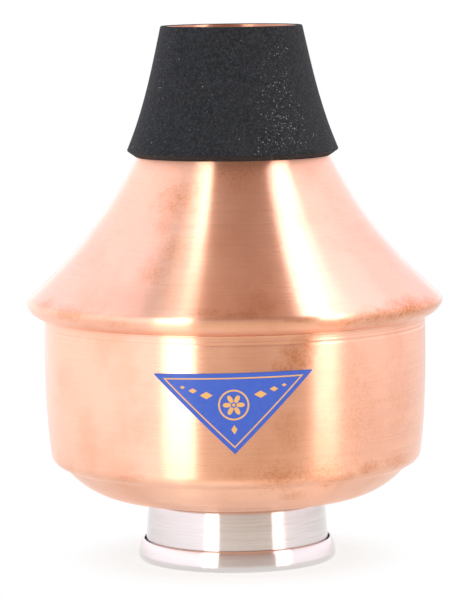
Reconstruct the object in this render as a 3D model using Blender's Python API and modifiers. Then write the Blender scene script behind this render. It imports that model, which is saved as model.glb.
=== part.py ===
"""Wah-wah mute for a trumpet, in metres, with +Z up and the foot of its cup on z = 0.

Two spun copper shells are locked together by a rolled lip. A black collar seals the neck in the
bell of the trumpet. An aluminium stem, a tube with a cup on its end, slides in a cork-lined socket
in the bottom of the body.
"""

import math

import bmesh
import bpy

# Clearances
FIT_GAP = 0.0003
SLIDE_GAP = 0.0003
SEAT_GAP = 0.0003

# Sheet thicknesses
COPPER_SHEET = 0.0005
CUP_SHEET = 0.0005
TUBE_SHEET = 0.0005

# Cup of the stem
CUP_HEIGHT = 0.0148
CUP_TOP_RADIUS = 0.0212
CUP_FLARE = 0.08
CUP_SHOULDER_ROUND = 0.0015
HEM_RADIUS = 0.0240
HEM_HEIGHT = 0.0053
HEM_WIDE_HEIGHT = 0.0018
HEM_ROUND = 0.00025
HEM_SWELL_ROUND = 0.005
HEM_GAP = 0.0003

# Tube of the stem
TUBE_RADIUS = 0.0085
TUBE_REACH = 0.075
TUBE_FLARE_WIDTH = 0.0018
TUBE_FLARE_ROUND = 0.0004

# Rolled lip that locks the shells together, the widest part of the body
BODY_RADIUS = 0.0500
LIP_ROUND = 0.0016
LIP_ANGLE = math.radians(37.7)

# Wall of the lower shell
LIP_OVERHANG = 0.00414
WALL_HEIGHT = 0.0330
WALL_TUCK = 0.13

# Bottom of the lower shell
CREASE_INSET = 0.00456
LEDGE_WIDTH = 0.0015
LEDGE_ANGLE = math.radians(26.0)
CORNER_ROUND = 0.0032
DOME_FLAT_RADIUS = 0.0220
DOME_RISE = 0.00765
DOME_EDGE_SLOPE = 1.13

# Bell-shaped cone and neck of the upper shell
CONE_HEIGHT = 0.0336
CONE_BASE_SLOPE = 1.15
THROAT_RADIUS = 0.0231
THROAT_SLOPE = 0.50
NECK_HEIGHT = 0.0311
NECK_RADIUS = 0.0155
NECK_SLOPE = 0.20

# Collar round the neck
COLLAR_TOP_RADIUS = 0.01695
COLLAR_TOP_SLOPE = 0.22
COLLAR_FOOT_RADIUS = 0.0254
COLLAR_FOOT_SLOPE = 0.43
COLLAR_FOOT_RISE = 0.0014

# Socket of the stem and its cork lining
HOLE_CLEARANCE = 0.0007
CORK_WALL = 0.0018
CORK_LENGTH = 0.0120
SOCKET_SHEET = 0.0005
SOCKET_FLANGE_WIDTH = 0.0036
SOCKET_TOP_MARGIN = 0.0005

# Label on the front of the lower shell
LABEL_WIDTH = 0.0364
LABEL_HEIGHT = 0.01875
LABEL_DROP = 0.0086
LABEL_TILT = math.radians(0.9)
LABEL_THICKNESS = 0.0002

# Fineness of the turned pieces
BODY_STEPS = 48
STEM_STEPS = 32
CUTTER_DEPTH = 0.060
SMOOTH_ANGLE = math.radians(35.0)
MERGE_DISTANCE = 0.000001

COLLECTION_NAME = "wah_wah_mute"
CUTTER_COLLECTION_NAME = "cutters"


def clear_scene():
    """Remove what the scene holds."""
    for old in list(bpy.data.objects):
        bpy.data.objects.remove(old, do_unlink=True)


def make_collection(name):
    """Return a new collection in the scene."""
    collection = bpy.data.collections.new(name)
    bpy.context.scene.collection.children.link(collection)
    return collection


def make_material(name, colour, roughness, metallic):
    """Return a plain Principled material."""
    material = bpy.data.materials.new(name)
    material.use_nodes = True
    shader = material.node_tree.nodes["Principled BSDF"]
    shader.inputs["Base Color"].default_value = (*colour, 1.0)
    shader.inputs["Roughness"].default_value = roughness
    shader.inputs["Metallic"].default_value = metallic
    material.diffuse_color = (*colour, 1.0)
    return material


def swept_curve(start, end, start_slope, end_slope, steps):
    """Points (radius, height) of a smooth flare from start down to end.

    A slope is the radius gained per unit of descent. The radius is a cubic in the height that
    meets both ends with those slopes.
    """
    drop = start[1] - end[1]
    points = []
    for step in range(steps + 1):
        t = step / steps
        keep_start = 2 * t**3 - 3 * t**2 + 1
        lean_start = t**3 - 2 * t**2 + t
        lean_end = t**3 - t**2
        radius = keep_start * start[0] + (1 - keep_start) * end[0]
        radius += drop * (lean_start * start_slope + lean_end * end_slope)
        points.append((radius, start[1] - t * drop))
    return points


def arc(centre, radius, start_angle, end_angle, steps):
    """Points (radius, height) of an arc, its angles measured up from straight outward."""
    points = []
    for step in range(steps + 1):
        angle = start_angle + (end_angle - start_angle) * step / steps
        points.append((centre[0] + radius * math.cos(angle), centre[1] + radius * math.sin(angle)))
    return points


def rounded(before, corner, after, radius, steps):
    """Points (radius, height) that round the corner between two straight runs."""
    into = (before[0] - corner[0], before[1] - corner[1])
    out = (after[0] - corner[0], after[1] - corner[1])
    into_length = math.hypot(*into)
    out_length = math.hypot(*out)
    into = (into[0] / into_length, into[1] / into_length)
    out = (out[0] / out_length, out[1] / out_length)
    half_angle = math.acos(into[0] * out[0] + into[1] * out[1]) / 2
    reach = radius / math.tan(half_angle)
    middle = (into[0] + out[0], into[1] + out[1])
    middle_length = math.hypot(*middle)
    depth = radius / math.sin(half_angle)
    centre = (corner[0] + middle[0] / middle_length * depth, corner[1] + middle[1] / middle_length * depth)
    first = math.atan2(corner[1] + into[1] * reach - centre[1], corner[0] + into[0] * reach - centre[0])
    last = math.atan2(corner[1] + out[1] * reach - centre[1], corner[0] + out[0] * reach - centre[0])
    turn = (last - first + math.pi) % (2 * math.pi) - math.pi
    return arc(centre, radius, first, first + turn, steps)


def add_profile(name, points, closed, collection):
    """Return an object whose mesh is an outline in the XZ plane, as a chain of edges."""
    mesh = bpy.data.meshes.new(name)
    shape = bmesh.new()
    corners = [shape.verts.new((radius, 0.0, height)) for radius, height in points]
    for first, second in zip(corners, corners[1:]):
        shape.edges.new((first, second))
    if closed:
        shape.edges.new((corners[-1], corners[0]))
    shape.to_mesh(mesh)
    shape.free()
    piece = bpy.data.objects.new(name, mesh)
    collection.objects.link(piece)
    return piece


def add_screw(piece, steps):
    """Turn the piece's outline once round +Z."""
    screw = piece.modifiers.new("Turn", "SCREW")
    screw.axis = "Z"
    screw.angle = 2 * math.pi
    screw.steps = steps
    screw.render_steps = steps
    screw.use_merge_vertices = True
    screw.merge_threshold = MERGE_DISTANCE


def settle(piece, material):
    """Keep the evaluated mesh of the piece, shade it and give it its material."""
    bpy.context.view_layer.update()
    evaluated = piece.evaluated_get(bpy.context.evaluated_depsgraph_get())
    mesh = bpy.data.meshes.new_from_object(evaluated)
    outline = piece.data
    piece.modifiers.clear()
    piece.data = mesh
    mesh.name = piece.name
    bpy.data.meshes.remove(outline)
    mesh.materials.clear()
    mesh.materials.append(material)
    mesh.shade_smooth()
    mesh.set_sharp_from_angle(angle=SMOOTH_ANGLE)
    return piece


def turned_solid(name, outline, steps, collection, material):
    """Return a solid of revolution: the outline runs down its outer side and up its inner one."""
    piece = add_profile(name, outline, True, collection)
    add_screw(piece, steps)
    return settle(piece, material)


def turned_sheet(name, path, thickness, steps, collection, material):
    """Return a spun sheet: the path is its outer face, and the thickness lies behind it."""
    piece = add_profile(name, path, False, collection)
    add_screw(piece, steps)
    shell = piece.modifiers.new("Sheet", "SOLIDIFY")
    shell.thickness = thickness
    shell.offset = -1.0
    shell.use_even_offset = True
    shell.use_rim = True
    return settle(piece, material)


class MuteShape:
    """The places that the pieces share, worked out from the sizes, foot first."""

    def __init__(self):
        self.dome_z = CUP_HEIGHT + SEAT_GAP
        self.wall_radius = BODY_RADIUS - LIP_OVERHANG
        self.crease = (self.wall_radius - CREASE_INSET, self.dome_z + DOME_RISE)
        self.ledge_normal = LEDGE_ANGLE - math.pi / 2
        self.wall_normal = -math.atan(WALL_TUCK)
        ledge_end = (self.crease[0] + LEDGE_WIDTH, self.crease[1] + LEDGE_WIDTH * math.tan(LEDGE_ANGLE))
        self.corner_centre = (
            ledge_end[0] - CORNER_ROUND * math.cos(self.ledge_normal),
            ledge_end[1] - CORNER_ROUND * math.sin(self.ledge_normal),
        )
        self.wall_foot = arc(self.corner_centre, CORNER_ROUND, self.wall_normal, self.ledge_normal, 1)[0]
        lip_reach = FIT_GAP + COPPER_SHEET * math.sin(LIP_ANGLE)
        self.lip_edge = (self.wall_radius + lip_reach, self.wall_foot[1] + WALL_HEIGHT)
        self.lip_normal = LIP_ANGLE - math.pi / 2
        self.cone_normal = math.atan(CONE_BASE_SLOPE)
        lip_run = BODY_RADIUS - LIP_ROUND + LIP_ROUND * math.cos(self.lip_normal) - self.lip_edge[0]
        lip_turn_z = self.lip_edge[1] + lip_run * math.tan(LIP_ANGLE)
        self.lip_centre = (BODY_RADIUS - LIP_ROUND, lip_turn_z - LIP_ROUND * math.sin(self.lip_normal))
        self.cone_base = arc(self.lip_centre, LIP_ROUND, self.cone_normal, self.lip_normal, 1)[0]
        self.throat = (THROAT_RADIUS, self.cone_base[1] + CONE_HEIGHT)
        self.neck_top = (NECK_RADIUS, self.throat[1] + NECK_HEIGHT)
        self.hole_radius = TUBE_RADIUS + HOLE_CLEARANCE
        self.cork_inner = TUBE_RADIUS + SLIDE_GAP
        self.cork_outer = self.cork_inner + CORK_WALL
        self.socket_z = self.dome_z + COPPER_SHEET + SEAT_GAP
        self.cork_z = self.socket_z + SOCKET_SHEET + SEAT_GAP

    def neck_curve(self, steps):
        """The outer side of the neck, from its rim down to the throat."""
        return swept_curve(self.neck_top, self.throat, NECK_SLOPE, THROAT_SLOPE, steps)

    def wall_curve(self, steps):
        """The outer side of the lower shell's wall, from the lip's edge down to its foot."""
        top = (self.wall_radius, self.lip_edge[1])
        return swept_curve(top, self.wall_foot, 0.0, -WALL_TUCK, steps)


def build_upper_shell(shape, collection, copper):
    """Neck, flared cone and rolled lip, spun from one sheet."""
    path = shape.neck_curve(5)
    path += swept_curve(shape.throat, shape.cone_base, THROAT_SLOPE, CONE_BASE_SLOPE, 8)[1:]
    path += arc(shape.lip_centre, LIP_ROUND, shape.cone_normal, shape.lip_normal, 5)[1:]
    path.append(shape.lip_edge)
    return turned_sheet("upper_shell", path, COPPER_SHEET, BODY_STEPS, collection, copper)


def build_lower_shell(shape, collection, copper):
    """Domed cup whose rim hooks round inside the rolled lip of the upper shell."""
    hook_round = LIP_ROUND - COPPER_SHEET - FIT_GAP
    path = arc(shape.lip_centre, hook_round, shape.cone_normal, shape.lip_normal, 3)
    hook_end = path[-1]
    flange_foot_z = hook_end[1] - (hook_end[0] - shape.wall_radius) * math.tan(LIP_ANGLE)
    path.append((shape.wall_radius, flange_foot_z))
    path += shape.wall_curve(4)[1:]
    path += arc(shape.corner_centre, CORNER_ROUND, shape.wall_normal, shape.ledge_normal, 4)[1:]
    path.append(shape.crease)
    path += dome_curve(shape, 6)[1:]
    path.append((shape.hole_radius, shape.dome_z))
    return turned_sheet("lower_shell", path, COPPER_SHEET, BODY_STEPS, collection, copper)


def dome_curve(shape, steps):
    """The underside of the bottom, from the crease in to its flat middle."""
    run = shape.crease[0] - DOME_FLAT_RADIUS
    points = []
    for step in range(steps + 1):
        t = 1 - step / steps
        climb = (3 * t**2 - 2 * t**3) * DOME_RISE + (t**3 - t**2) * run * DOME_EDGE_SLOPE
        points.append((DOME_FLAT_RADIUS + t * run, shape.dome_z + climb))
    return points


def build_collar(shape, collection, foam):
    """Tapered collar that hugs the neck and wedges in the bell."""
    foot = (COLLAR_FOOT_RADIUS, shape.throat[1] + COLLAR_FOOT_RISE)
    top = (COLLAR_TOP_RADIUS, shape.neck_top[1])
    outer = swept_curve(top, foot, COLLAR_TOP_SLOPE, COLLAR_FOOT_SLOPE, 5)
    inner = [(radius + FIT_GAP, height) for radius, height in reversed(shape.neck_curve(5))]
    return turned_solid("neck_collar", outer + inner, BODY_STEPS, collection, foam)


def build_socket(shape, collection, copper):
    """Flanged ferrule soldered over the hole in the bottom, inside the body."""
    bore = shape.cork_outer + FIT_GAP
    outside = bore + SOCKET_SHEET
    base_top = shape.socket_z + SOCKET_SHEET
    top = shape.cork_z + CORK_LENGTH + SOCKET_TOP_MARGIN
    outline = [
        (outside, top),
        (outside, base_top),
        (outside + SOCKET_FLANGE_WIDTH, base_top),
        (outside + SOCKET_FLANGE_WIDTH, shape.socket_z),
        (shape.hole_radius, shape.socket_z),
        (shape.hole_radius, base_top),
        (bore, base_top),
        (bore, top),
    ]
    return turned_solid("stem_socket", outline, STEM_STEPS, collection, copper)


def build_cork(shape, collection, cork):
    """Cork sleeve that lines the socket and grips the tube."""
    top = shape.cork_z + CORK_LENGTH
    outline = [
        (shape.cork_outer, top),
        (shape.cork_outer, shape.cork_z),
        (shape.cork_inner, shape.cork_z),
        (shape.cork_inner, top),
    ]
    return turned_solid("socket_cork", outline, STEM_STEPS, collection, cork)


def build_tube(collection, aluminium):
    """Tube of the stem, its lower end flared out under the floor of the cup."""
    flare_z = CUP_HEIGHT - CUP_SHEET - FIT_GAP
    top = (TUBE_RADIUS, CUP_HEIGHT + TUBE_REACH)
    turn = (TUBE_RADIUS, flare_z)
    end = (TUBE_RADIUS + TUBE_FLARE_WIDTH, flare_z)
    path = [top, *rounded(top, turn, end, TUBE_FLARE_ROUND, 3), end]
    return turned_sheet("stem_tube", path, TUBE_SHEET, STEM_STEPS, collection, aluminium)


def build_cup(collection, aluminium):
    """Cup of the stem, its mouth rolled outward and up into a hem that it stands on."""
    floor_start = (TUBE_RADIUS + FIT_GAP, CUP_HEIGHT)
    shoulder = (CUP_TOP_RADIUS, CUP_HEIGHT)
    groove_inner = (CUP_TOP_RADIUS + (CUP_HEIGHT - CUP_SHEET) * CUP_FLARE, CUP_SHEET)
    groove_outer = (HEM_RADIUS - CUP_SHEET, CUP_SHEET)
    hem_wide = (groove_outer[0], HEM_WIDE_HEIGHT)
    wall_at_hem = CUP_TOP_RADIUS + (CUP_HEIGHT - HEM_HEIGHT) * CUP_FLARE
    hem_top = (wall_at_hem + HEM_GAP, HEM_HEIGHT)
    path = [floor_start]
    path += rounded(floor_start, shoulder, groove_inner, CUP_SHOULDER_ROUND, 4)
    path += rounded(shoulder, groove_inner, groove_outer, HEM_ROUND, 2)
    path += rounded(groove_inner, groove_outer, hem_wide, HEM_ROUND, 2)
    path += rounded(groove_outer, hem_wide, hem_top, HEM_SWELL_ROUND, 2)
    path.append(hem_top)
    return turned_sheet("stem_cup", path, CUP_SHEET, BODY_STEPS, collection, aluminium)


def build_label(shape, collection, cutters, foil):
    """Triangular foil label: a thin sleeve round the wall, cut out by a prism."""
    wall = shape.wall_curve(6)
    inner_gap = FIT_GAP
    outer_gap = FIT_GAP + LABEL_THICKNESS
    outer = [(radius + outer_gap, height) for radius, height in wall]
    inner = [(radius + inner_gap, height) for radius, height in reversed(wall)]
    label = add_profile("label", outer + inner, True, collection)
    add_screw(label, BODY_STEPS * 2)

    mesh = bpy.data.meshes.new("label_outline")
    prism = bmesh.new()
    corners = [(-LABEL_WIDTH / 2, 0.0, 0.0), (LABEL_WIDTH / 2, 0.0, 0.0), (0.0, 0.0, -LABEL_HEIGHT)]
    front = prism.faces.new([prism.verts.new(corner) for corner in corners])
    swept = bmesh.ops.extrude_face_region(prism, geom=[front])
    moved = [item for item in swept["geom"] if isinstance(item, bmesh.types.BMVert)]
    bmesh.ops.translate(prism, vec=(0.0, -CUTTER_DEPTH, 0.0), verts=moved)
    bmesh.ops.recalc_face_normals(prism, faces=prism.faces)
    prism.to_mesh(mesh)
    prism.free()
    cutter = bpy.data.objects.new("label_outline", mesh)
    cutter.location = (0.0, 0.0, shape.lip_edge[1] - LABEL_DROP)
    cutter.rotation_euler = (0.0, -LABEL_TILT, 0.0)
    cutter.hide_render = True
    cutter.display_type = "WIRE"
    cutters.objects.link(cutter)

    cut = label.modifiers.new("Outline", "BOOLEAN")
    cut.operation = "INTERSECT"
    cut.solver = "EXACT"
    cut.object = cutter
    return settle(label, foil)


def build_mute():
    """Build every piece of the mute and hang the stem on its sliding axis."""
    clear_scene()
    pieces = make_collection(COLLECTION_NAME)
    cutters = make_collection(CUTTER_COLLECTION_NAME)
    copper = make_material("satin_copper", (0.83, 0.47, 0.33), 0.30, 1.0)
    aluminium = make_material("turned_aluminium", (0.82, 0.80, 0.80), 0.28, 1.0)
    foam = make_material("black_collar", (0.028, 0.029, 0.032), 0.90, 0.0)
    cork = make_material("natural_cork", (0.50, 0.31, 0.17), 0.85, 0.0)
    foil = make_material("blue_foil", (0.07, 0.13, 0.55), 0.35, 0.0)

    shape = MuteShape()
    build_upper_shell(shape, pieces, copper)
    build_lower_shell(shape, pieces, copper)
    build_collar(shape, pieces, foam)
    build_socket(shape, pieces, copper)
    build_cork(shape, pieces, cork)
    build_label(shape, pieces, cutters, foil)
    stem = [build_tube(pieces, aluminium), build_cup(pieces, aluminium)]

    slide = bpy.data.objects.new("stem_slide_axis", None)
    slide.location = (0.0, 0.0, shape.dome_z)
    slide.empty_display_size = CUP_TOP_RADIUS
    pieces.objects.link(slide)
    bpy.context.view_layer.update()
    for piece in stem:
        piece.parent = slide
        piece.matrix_parent_inverse = slide.matrix_world.inverted()


build_mute()
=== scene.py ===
"""Looks of a wah-wah mute for a trumpet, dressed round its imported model.

Lengths are in metres where nothing else is said, with +Z up along the axis of the mute and -Y
towards its label. Azimuths are in degrees round the axis, from straight ahead of the label and
positive towards +X. A point of an outline is a radius and a height.
"""

import logging
import math
from collections.abc import Iterable, Sequence
from dataclasses import dataclass, replace
from enum import Enum

import bmesh
import bpy
from mathutils import Matrix, Vector


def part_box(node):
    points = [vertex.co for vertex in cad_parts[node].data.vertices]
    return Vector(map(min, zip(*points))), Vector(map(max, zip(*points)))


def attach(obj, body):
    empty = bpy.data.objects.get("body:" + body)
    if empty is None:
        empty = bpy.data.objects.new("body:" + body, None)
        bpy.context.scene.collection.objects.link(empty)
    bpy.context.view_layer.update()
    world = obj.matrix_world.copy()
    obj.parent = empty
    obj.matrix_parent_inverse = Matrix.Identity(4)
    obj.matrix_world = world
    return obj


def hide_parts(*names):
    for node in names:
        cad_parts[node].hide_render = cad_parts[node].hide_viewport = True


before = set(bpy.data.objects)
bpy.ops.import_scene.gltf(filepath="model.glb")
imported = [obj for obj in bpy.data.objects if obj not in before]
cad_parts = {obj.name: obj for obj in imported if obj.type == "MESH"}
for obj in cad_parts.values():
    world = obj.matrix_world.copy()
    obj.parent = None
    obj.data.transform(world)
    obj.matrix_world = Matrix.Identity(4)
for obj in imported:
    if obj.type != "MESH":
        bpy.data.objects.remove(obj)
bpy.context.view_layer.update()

Point = tuple[float, float]
Colour = tuple[float, float, float]
Node = bpy.types.Node
Tree = bpy.types.NodeTree
Socket = bpy.types.NodeSocket
Mesh = bmesh.types.BMesh
Ring = list[bmesh.types.BMVert]
Piece = bpy.types.Object
Finish = bpy.types.Material

MM = 0.001
SEGMENTS = 216
TUBE_SEGMENTS = 96
WHITE = (1.0, 1.0, 1.0, 1.0)

log = logging.getLogger("wah_wah_mute")


class Body(Enum):
    """The bodies that pieces ride on."""

    MUTE = "mute_body"
    STEM = "stem"


class Slot(Enum):
    """The record's material slots."""

    COPPER = "satin_copper"
    ALUMINIUM = "turned_aluminium"
    COLLAR = "black_collar"
    CORK = "natural_cork"
    FOIL = "blue_foil"


class Use(Enum):
    """What a studio card is for."""

    MIRROR = "shows in shiny surfaces"
    LIGHT = "lights matt surfaces"


def mix(first: Sequence[float], second: Sequence[float], share: float) -> tuple[float, ...]:
    """Return what lies that share of the way from the first row of numbers to the second."""
    return tuple(a + (b - a) * share for a, b in zip(first, second))


def runs(start: Point, end: Point, count: int) -> list[Point]:
    """Return the ends of the equal parts that a straight run is cut into."""
    return [mix(start, end, step / count) for step in range(1, count + 1)]


def unit(start: Point, end: Point) -> Point:
    """Return the direction from start to end."""
    length = math.dist(start, end)
    return ((end[0] - start[0]) / length, (end[1] - start[1]) / length)


def flare_point(start: Point, end: Point, start_slope: float, end_slope: float, t: float) -> Point:
    """Work out a point of a flare whose radius is a cubic in the height.

    Args:
        start: Upper end.
        end: Lower end.
        start_slope: Radius gained per unit of descent at the upper end.
        end_slope: The same at the lower end.
        t: How far down the point is, from 0 at the upper end to 1.

    Returns:
        The point.
    """
    drop = start[1] - end[1]
    keep = 2 * t**3 - 3 * t**2 + 1
    lean = (t**3 - 2 * t**2 + t) * start_slope + (t**3 - t**2) * end_slope
    return (keep * start[0] + (1 - keep) * end[0] + drop * lean, start[1] - t * drop)


def flare(start: Point, end: Point, start_slope: float, end_slope: float, steps: int) -> list[Point]:
    """Return the points of a flare that is cut into that many runs, from start down to end."""
    return [flare_point(start, end, start_slope, end_slope, step / steps) for step in range(steps + 1)]


def on_circle(centre: Point, radius: float, angle: float) -> Point:
    """Return the point of a circle at an angle up from straight outward, in radians."""
    return (centre[0] + radius * math.cos(angle), centre[1] + radius * math.sin(angle))


def arc(centre: Point, radius: float, first: float, last: float, steps: int) -> list[Point]:
    """Return the points of an arc from its first to its last angle."""
    return [on_circle(centre, radius, first + (last - first) * step / steps) for step in range(steps + 1)]


def fillet(before: Point, corner: Point, after: Point, radius: float, steps: int) -> list[Point]:
    """Round the corner between two straight runs.

    Args:
        before: A point on the run that comes in.
        corner: The sharp corner.
        after: A point on the run that goes out.
        radius: Radius of the rounding.
        steps: How many runs the rounding is cut into.

    Returns:
        The points of the rounding.
    """
    back, ahead = unit(corner, before), unit(corner, after)
    half = math.acos(back[0] * ahead[0] + back[1] * ahead[1]) / 2
    reach, depth = radius / math.tan(half), radius / math.sin(half)
    middle = unit((0.0, 0.0), (back[0] + ahead[0], back[1] + ahead[1]))
    centre = (corner[0] + middle[0] * depth, corner[1] + middle[1] * depth)
    first, last = (
        math.atan2(corner[1] + way[1] * reach - centre[1], corner[0] + way[0] * reach - centre[0])
        for way in (back, ahead)
    )
    turn_by = (last - first + math.pi) % (2 * math.pi) - math.pi
    return arc(centre, radius, first, first + turn_by, steps)


@dataclass(frozen=True)
class Outline:
    """A closed outline that runs down its outer side and back up its inner one.

    Attributes:
        points: The corners.
        inner_from: Index of the run where the inner side starts, or past the end if it has none.
    """

    points: tuple[Point, ...]
    inner_from: int = 10**6


def sheet(path: Sequence[Point], thickness: float, edge_steps: int = 5) -> Outline:
    """Give a path the thickness of a sheet, with both of its edges rounded over.

    Args:
        path: The sheet's outer face, top to bottom. The rounded edges end where it ends.
        thickness: Thickness of the sheet, which lies behind the path.
        edge_steps: How many runs round each edge.

    Returns:
        The outline of the sheet.
    """
    half = thickness / 2
    path = list(path)
    ahead, back = unit(path[0], path[1]), unit(path[-1], path[-2])
    path[0] = (path[0][0] + ahead[0] * half, path[0][1] + ahead[1] * half)
    path[-1] = (path[-1][0] + back[0] * half, path[-1][1] + back[1] * half)
    inner, outward = [], []
    for index, point in enumerate(path):
        along = unit(path[max(index - 1, 0)], path[min(index + 1, len(path) - 1)])
        outward.append((-along[1], along[0]))
        inner.append((point[0] + along[1] * thickness, point[1] - along[0] * thickness))
    edges = []
    for end, sign in ((-1, 1), (0, -1)):
        centre = ((path[end][0] + inner[end][0]) / 2, (path[end][1] + inner[end][1]) / 2)
        facing = math.atan2(sign * outward[end][1], sign * outward[end][0])
        edges.append(arc(centre, half, facing, facing - math.pi, edge_steps)[1:-1])
    points = path + edges[0] + inner[::-1] + edges[1]
    return Outline(tuple(points), len(path) + len(edges[0]))


def new_object(name: str, shape: Mesh) -> Piece:
    """Put a shape in the scene as a smooth object.

    Args:
        name: Name of the object and its mesh.
        shape: The shape, which is freed.

    Returns:
        The object.
    """
    for face in shape.faces:
        face.smooth = True
    mesh = bpy.data.meshes.new(name)
    shape.to_mesh(mesh)
    shape.free()
    piece = bpy.data.objects.new(name, mesh)
    bpy.context.scene.collection.objects.link(piece)
    return piece


def turn(name: str, outline: Outline, segments: int = SEGMENTS) -> Piece:
    """Turn an outline round the axis.

    Args:
        name: Name of the piece.
        outline: Its outline. Faces of its inner side take the second material.
        segments: How many sides the turned piece has.

    Returns:
        The piece.
    """
    shape = bmesh.new()
    rings = []
    for step in range(segments):
        angle = 2 * math.pi * step / segments
        across, along = math.cos(angle), math.sin(angle)
        rings.append([shape.verts.new((r * across, r * along, z)) for r, z in outline.points])
    count = len(outline.points)
    for step, here in enumerate(rings):
        there = rings[(step + 1) % segments]
        for low in range(count):
            high = (low + 1) % count
            face = shape.faces.new((here[low], here[high], there[high], there[low]))
            face.material_index = int(low >= outline.inner_from)
    return new_object(name, shape)


def dress(piece: Piece, body: Body, nodes: Iterable[str], finishes: Iterable[Finish]) -> None:
    """Give a piece its materials and tie it to the frame.

    Args:
        piece: The piece.
        body: The body that it rides on.
        nodes: The nodes of the model that it stands for.
        finishes: Its materials, in order.
    """
    for finish in finishes:
        piece.data.materials.append(finish)
    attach(piece, body.value)
    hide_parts(*nodes)
    log.info("%s: %d faces, rides on %s", piece.name, len(piece.data.polygons), body.value)


class Wiring:
    """Places nodes in one shader tree and joins them."""

    def __init__(self, tree: Tree) -> None:
        """Keep the tree."""
        self.tree = tree

    def feed(self, node: Node, inputs: dict[object, object]) -> Node:
        """Link or set inputs of a node.

        Args:
            node: The node.
            inputs: Sockets to link and values to set, by the input's name or index.

        Returns:
            The node.
        """
        for name, value in inputs.items():
            if isinstance(value, Socket):
                self.tree.links.new(value, node.inputs[name])
            else:
                node.inputs[name].default_value = value
        return node

    def add(self, kind: str, inputs: dict[object, object] | None = None, **settings: object) -> Node:
        """Add a node.

        Args:
            kind: The node's type, without ShaderNode in front.
            inputs: Values or sockets to feed in, by the input's name or index.
            settings: The node's own settings.

        Returns:
            The node.
        """
        node = self.tree.nodes.new("ShaderNode" + kind)
        for name, value in settings.items():
            setattr(node, name, value)
        return self.feed(node, inputs or {})

    def math(self, operation: str, *values: object, clamp: bool = False) -> Socket:
        """Combine values with a Math node and return the result."""
        return self.add("Math", dict(enumerate(values)), operation=operation, use_clamp=clamp).outputs[0]

    def vector(self, operation: str, *values: object) -> Socket:
        """Combine vectors with a Vector Math node and return the resulting vector."""
        return self.add("VectorMath", dict(enumerate(values)), operation=operation).outputs["Vector"]

    def length(self, vector: Socket) -> Socket:
        """Return how long a vector is."""
        return self.add("VectorMath", {0: vector}, operation="LENGTH").outputs["Value"]

    def here(self) -> Socket:
        """Return the place on the object."""
        return self.add("TexCoord").outputs["Object"]

    def span(self, value: object, low: float, high: float, to: Point = (0.0, 1.0)) -> Socket:
        """Map a value smoothly from low..high to the two values of to, and hold it there beyond."""
        inputs = {"Value": value, "From Min": low, "From Max": high, "To Min": to[0], "To Max": to[1]}
        return self.add("MapRange", inputs, interpolation_type="SMOOTHSTEP").outputs["Result"]

    def blend(self, factor: object, first: object, second: object, how: str = "MIX") -> Socket:
        """Mix two colours.

        Args:
            factor: Share of the second colour.
            first: The first colour.
            second: The second colour.
            how: The way in which they mix.

        Returns:
            The mixed colour.
        """
        first, second = ((*value, 1.0) if isinstance(value, tuple) else value for value in (first, second))
        node = self.add("Mix", data_type="RGBA", blend_type=how)
        return self.feed(node, {0: factor, 6: first, 7: second}).outputs[2]

    def shaded(self, colour: Colour, shade: Socket) -> Socket:
        """Multiply a colour by one number and return the result."""
        tone = self.add("CombineColor", {0: shade, 1: shade, 2: shade}).outputs[0]
        return self.blend(1.0, colour, tone, "MULTIPLY")

    def noise(self, vector: object, scale: object, detail: float, roughness: float = 0.5) -> Socket:
        """Add a noise texture and return its value."""
        inputs = {"Vector": vector, "Scale": scale, "Detail": detail, "Roughness": roughness}
        return self.add("TexNoise", inputs).outputs[0]

    def bump(self, height: Socket, distance: float, **more: object) -> Socket:
        """Return the normal that a height gives, with any more inputs of the Bump node."""
        return self.add("Bump", {"Height": height, "Distance": distance, **more}).outputs[0]

    def place(self, effect: "type[EffectGroup]", **values: object) -> Node:
        """Place an effect's node group.

        Args:
            effect: The effect.
            values: The material's own values for the group's inputs.

        Returns:
            The group's node.
        """
        node = self.tree.nodes.new("ShaderNodeGroup")
        node.node_tree = effect.tree()
        return self.feed(node, values)


class EffectGroup:
    """Base of the effects that materials share: a shader node group that is built once."""

    name = ""
    inputs: dict[str, object] = {}
    outputs: tuple[str, ...] = ()

    @classmethod
    def tree(cls) -> Tree:
        """Build the effect's node group the first time.

        Returns:
            The node group.
        """
        made = bpy.data.node_groups.get(cls.name)
        if made:
            return made
        made = bpy.data.node_groups.new(cls.name, "ShaderNodeTree")
        for name, value in cls.inputs.items():
            kind = "NodeSocketVector" if isinstance(value, tuple) else "NodeSocketFloat"
            made.interface.new_socket(name, in_out="INPUT", socket_type=kind).default_value = value
        for name in cls.outputs:
            kind = "NodeSocketVector" if name == "Vector" else "NodeSocketFloat"
            made.interface.new_socket(name, in_out="OUTPUT", socket_type=kind)
        wiring = Wiring(made)
        given = made.nodes.new("NodeGroupInput")
        results = cls.wire(wiring, {socket.name: socket for socket in given.outputs if socket.name})
        wiring.feed(made.nodes.new("NodeGroupOutput"), results)
        return made

    @classmethod
    def wire(cls, wiring: Wiring, given: dict[str, Socket]) -> dict[str, Socket]:
        """Build the inside of the group.

        Args:
            wiring: Wiring of the group.
            given: The group's inputs by name.

        Returns:
            What each output gets.
        """
        raise NotImplementedError


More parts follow.
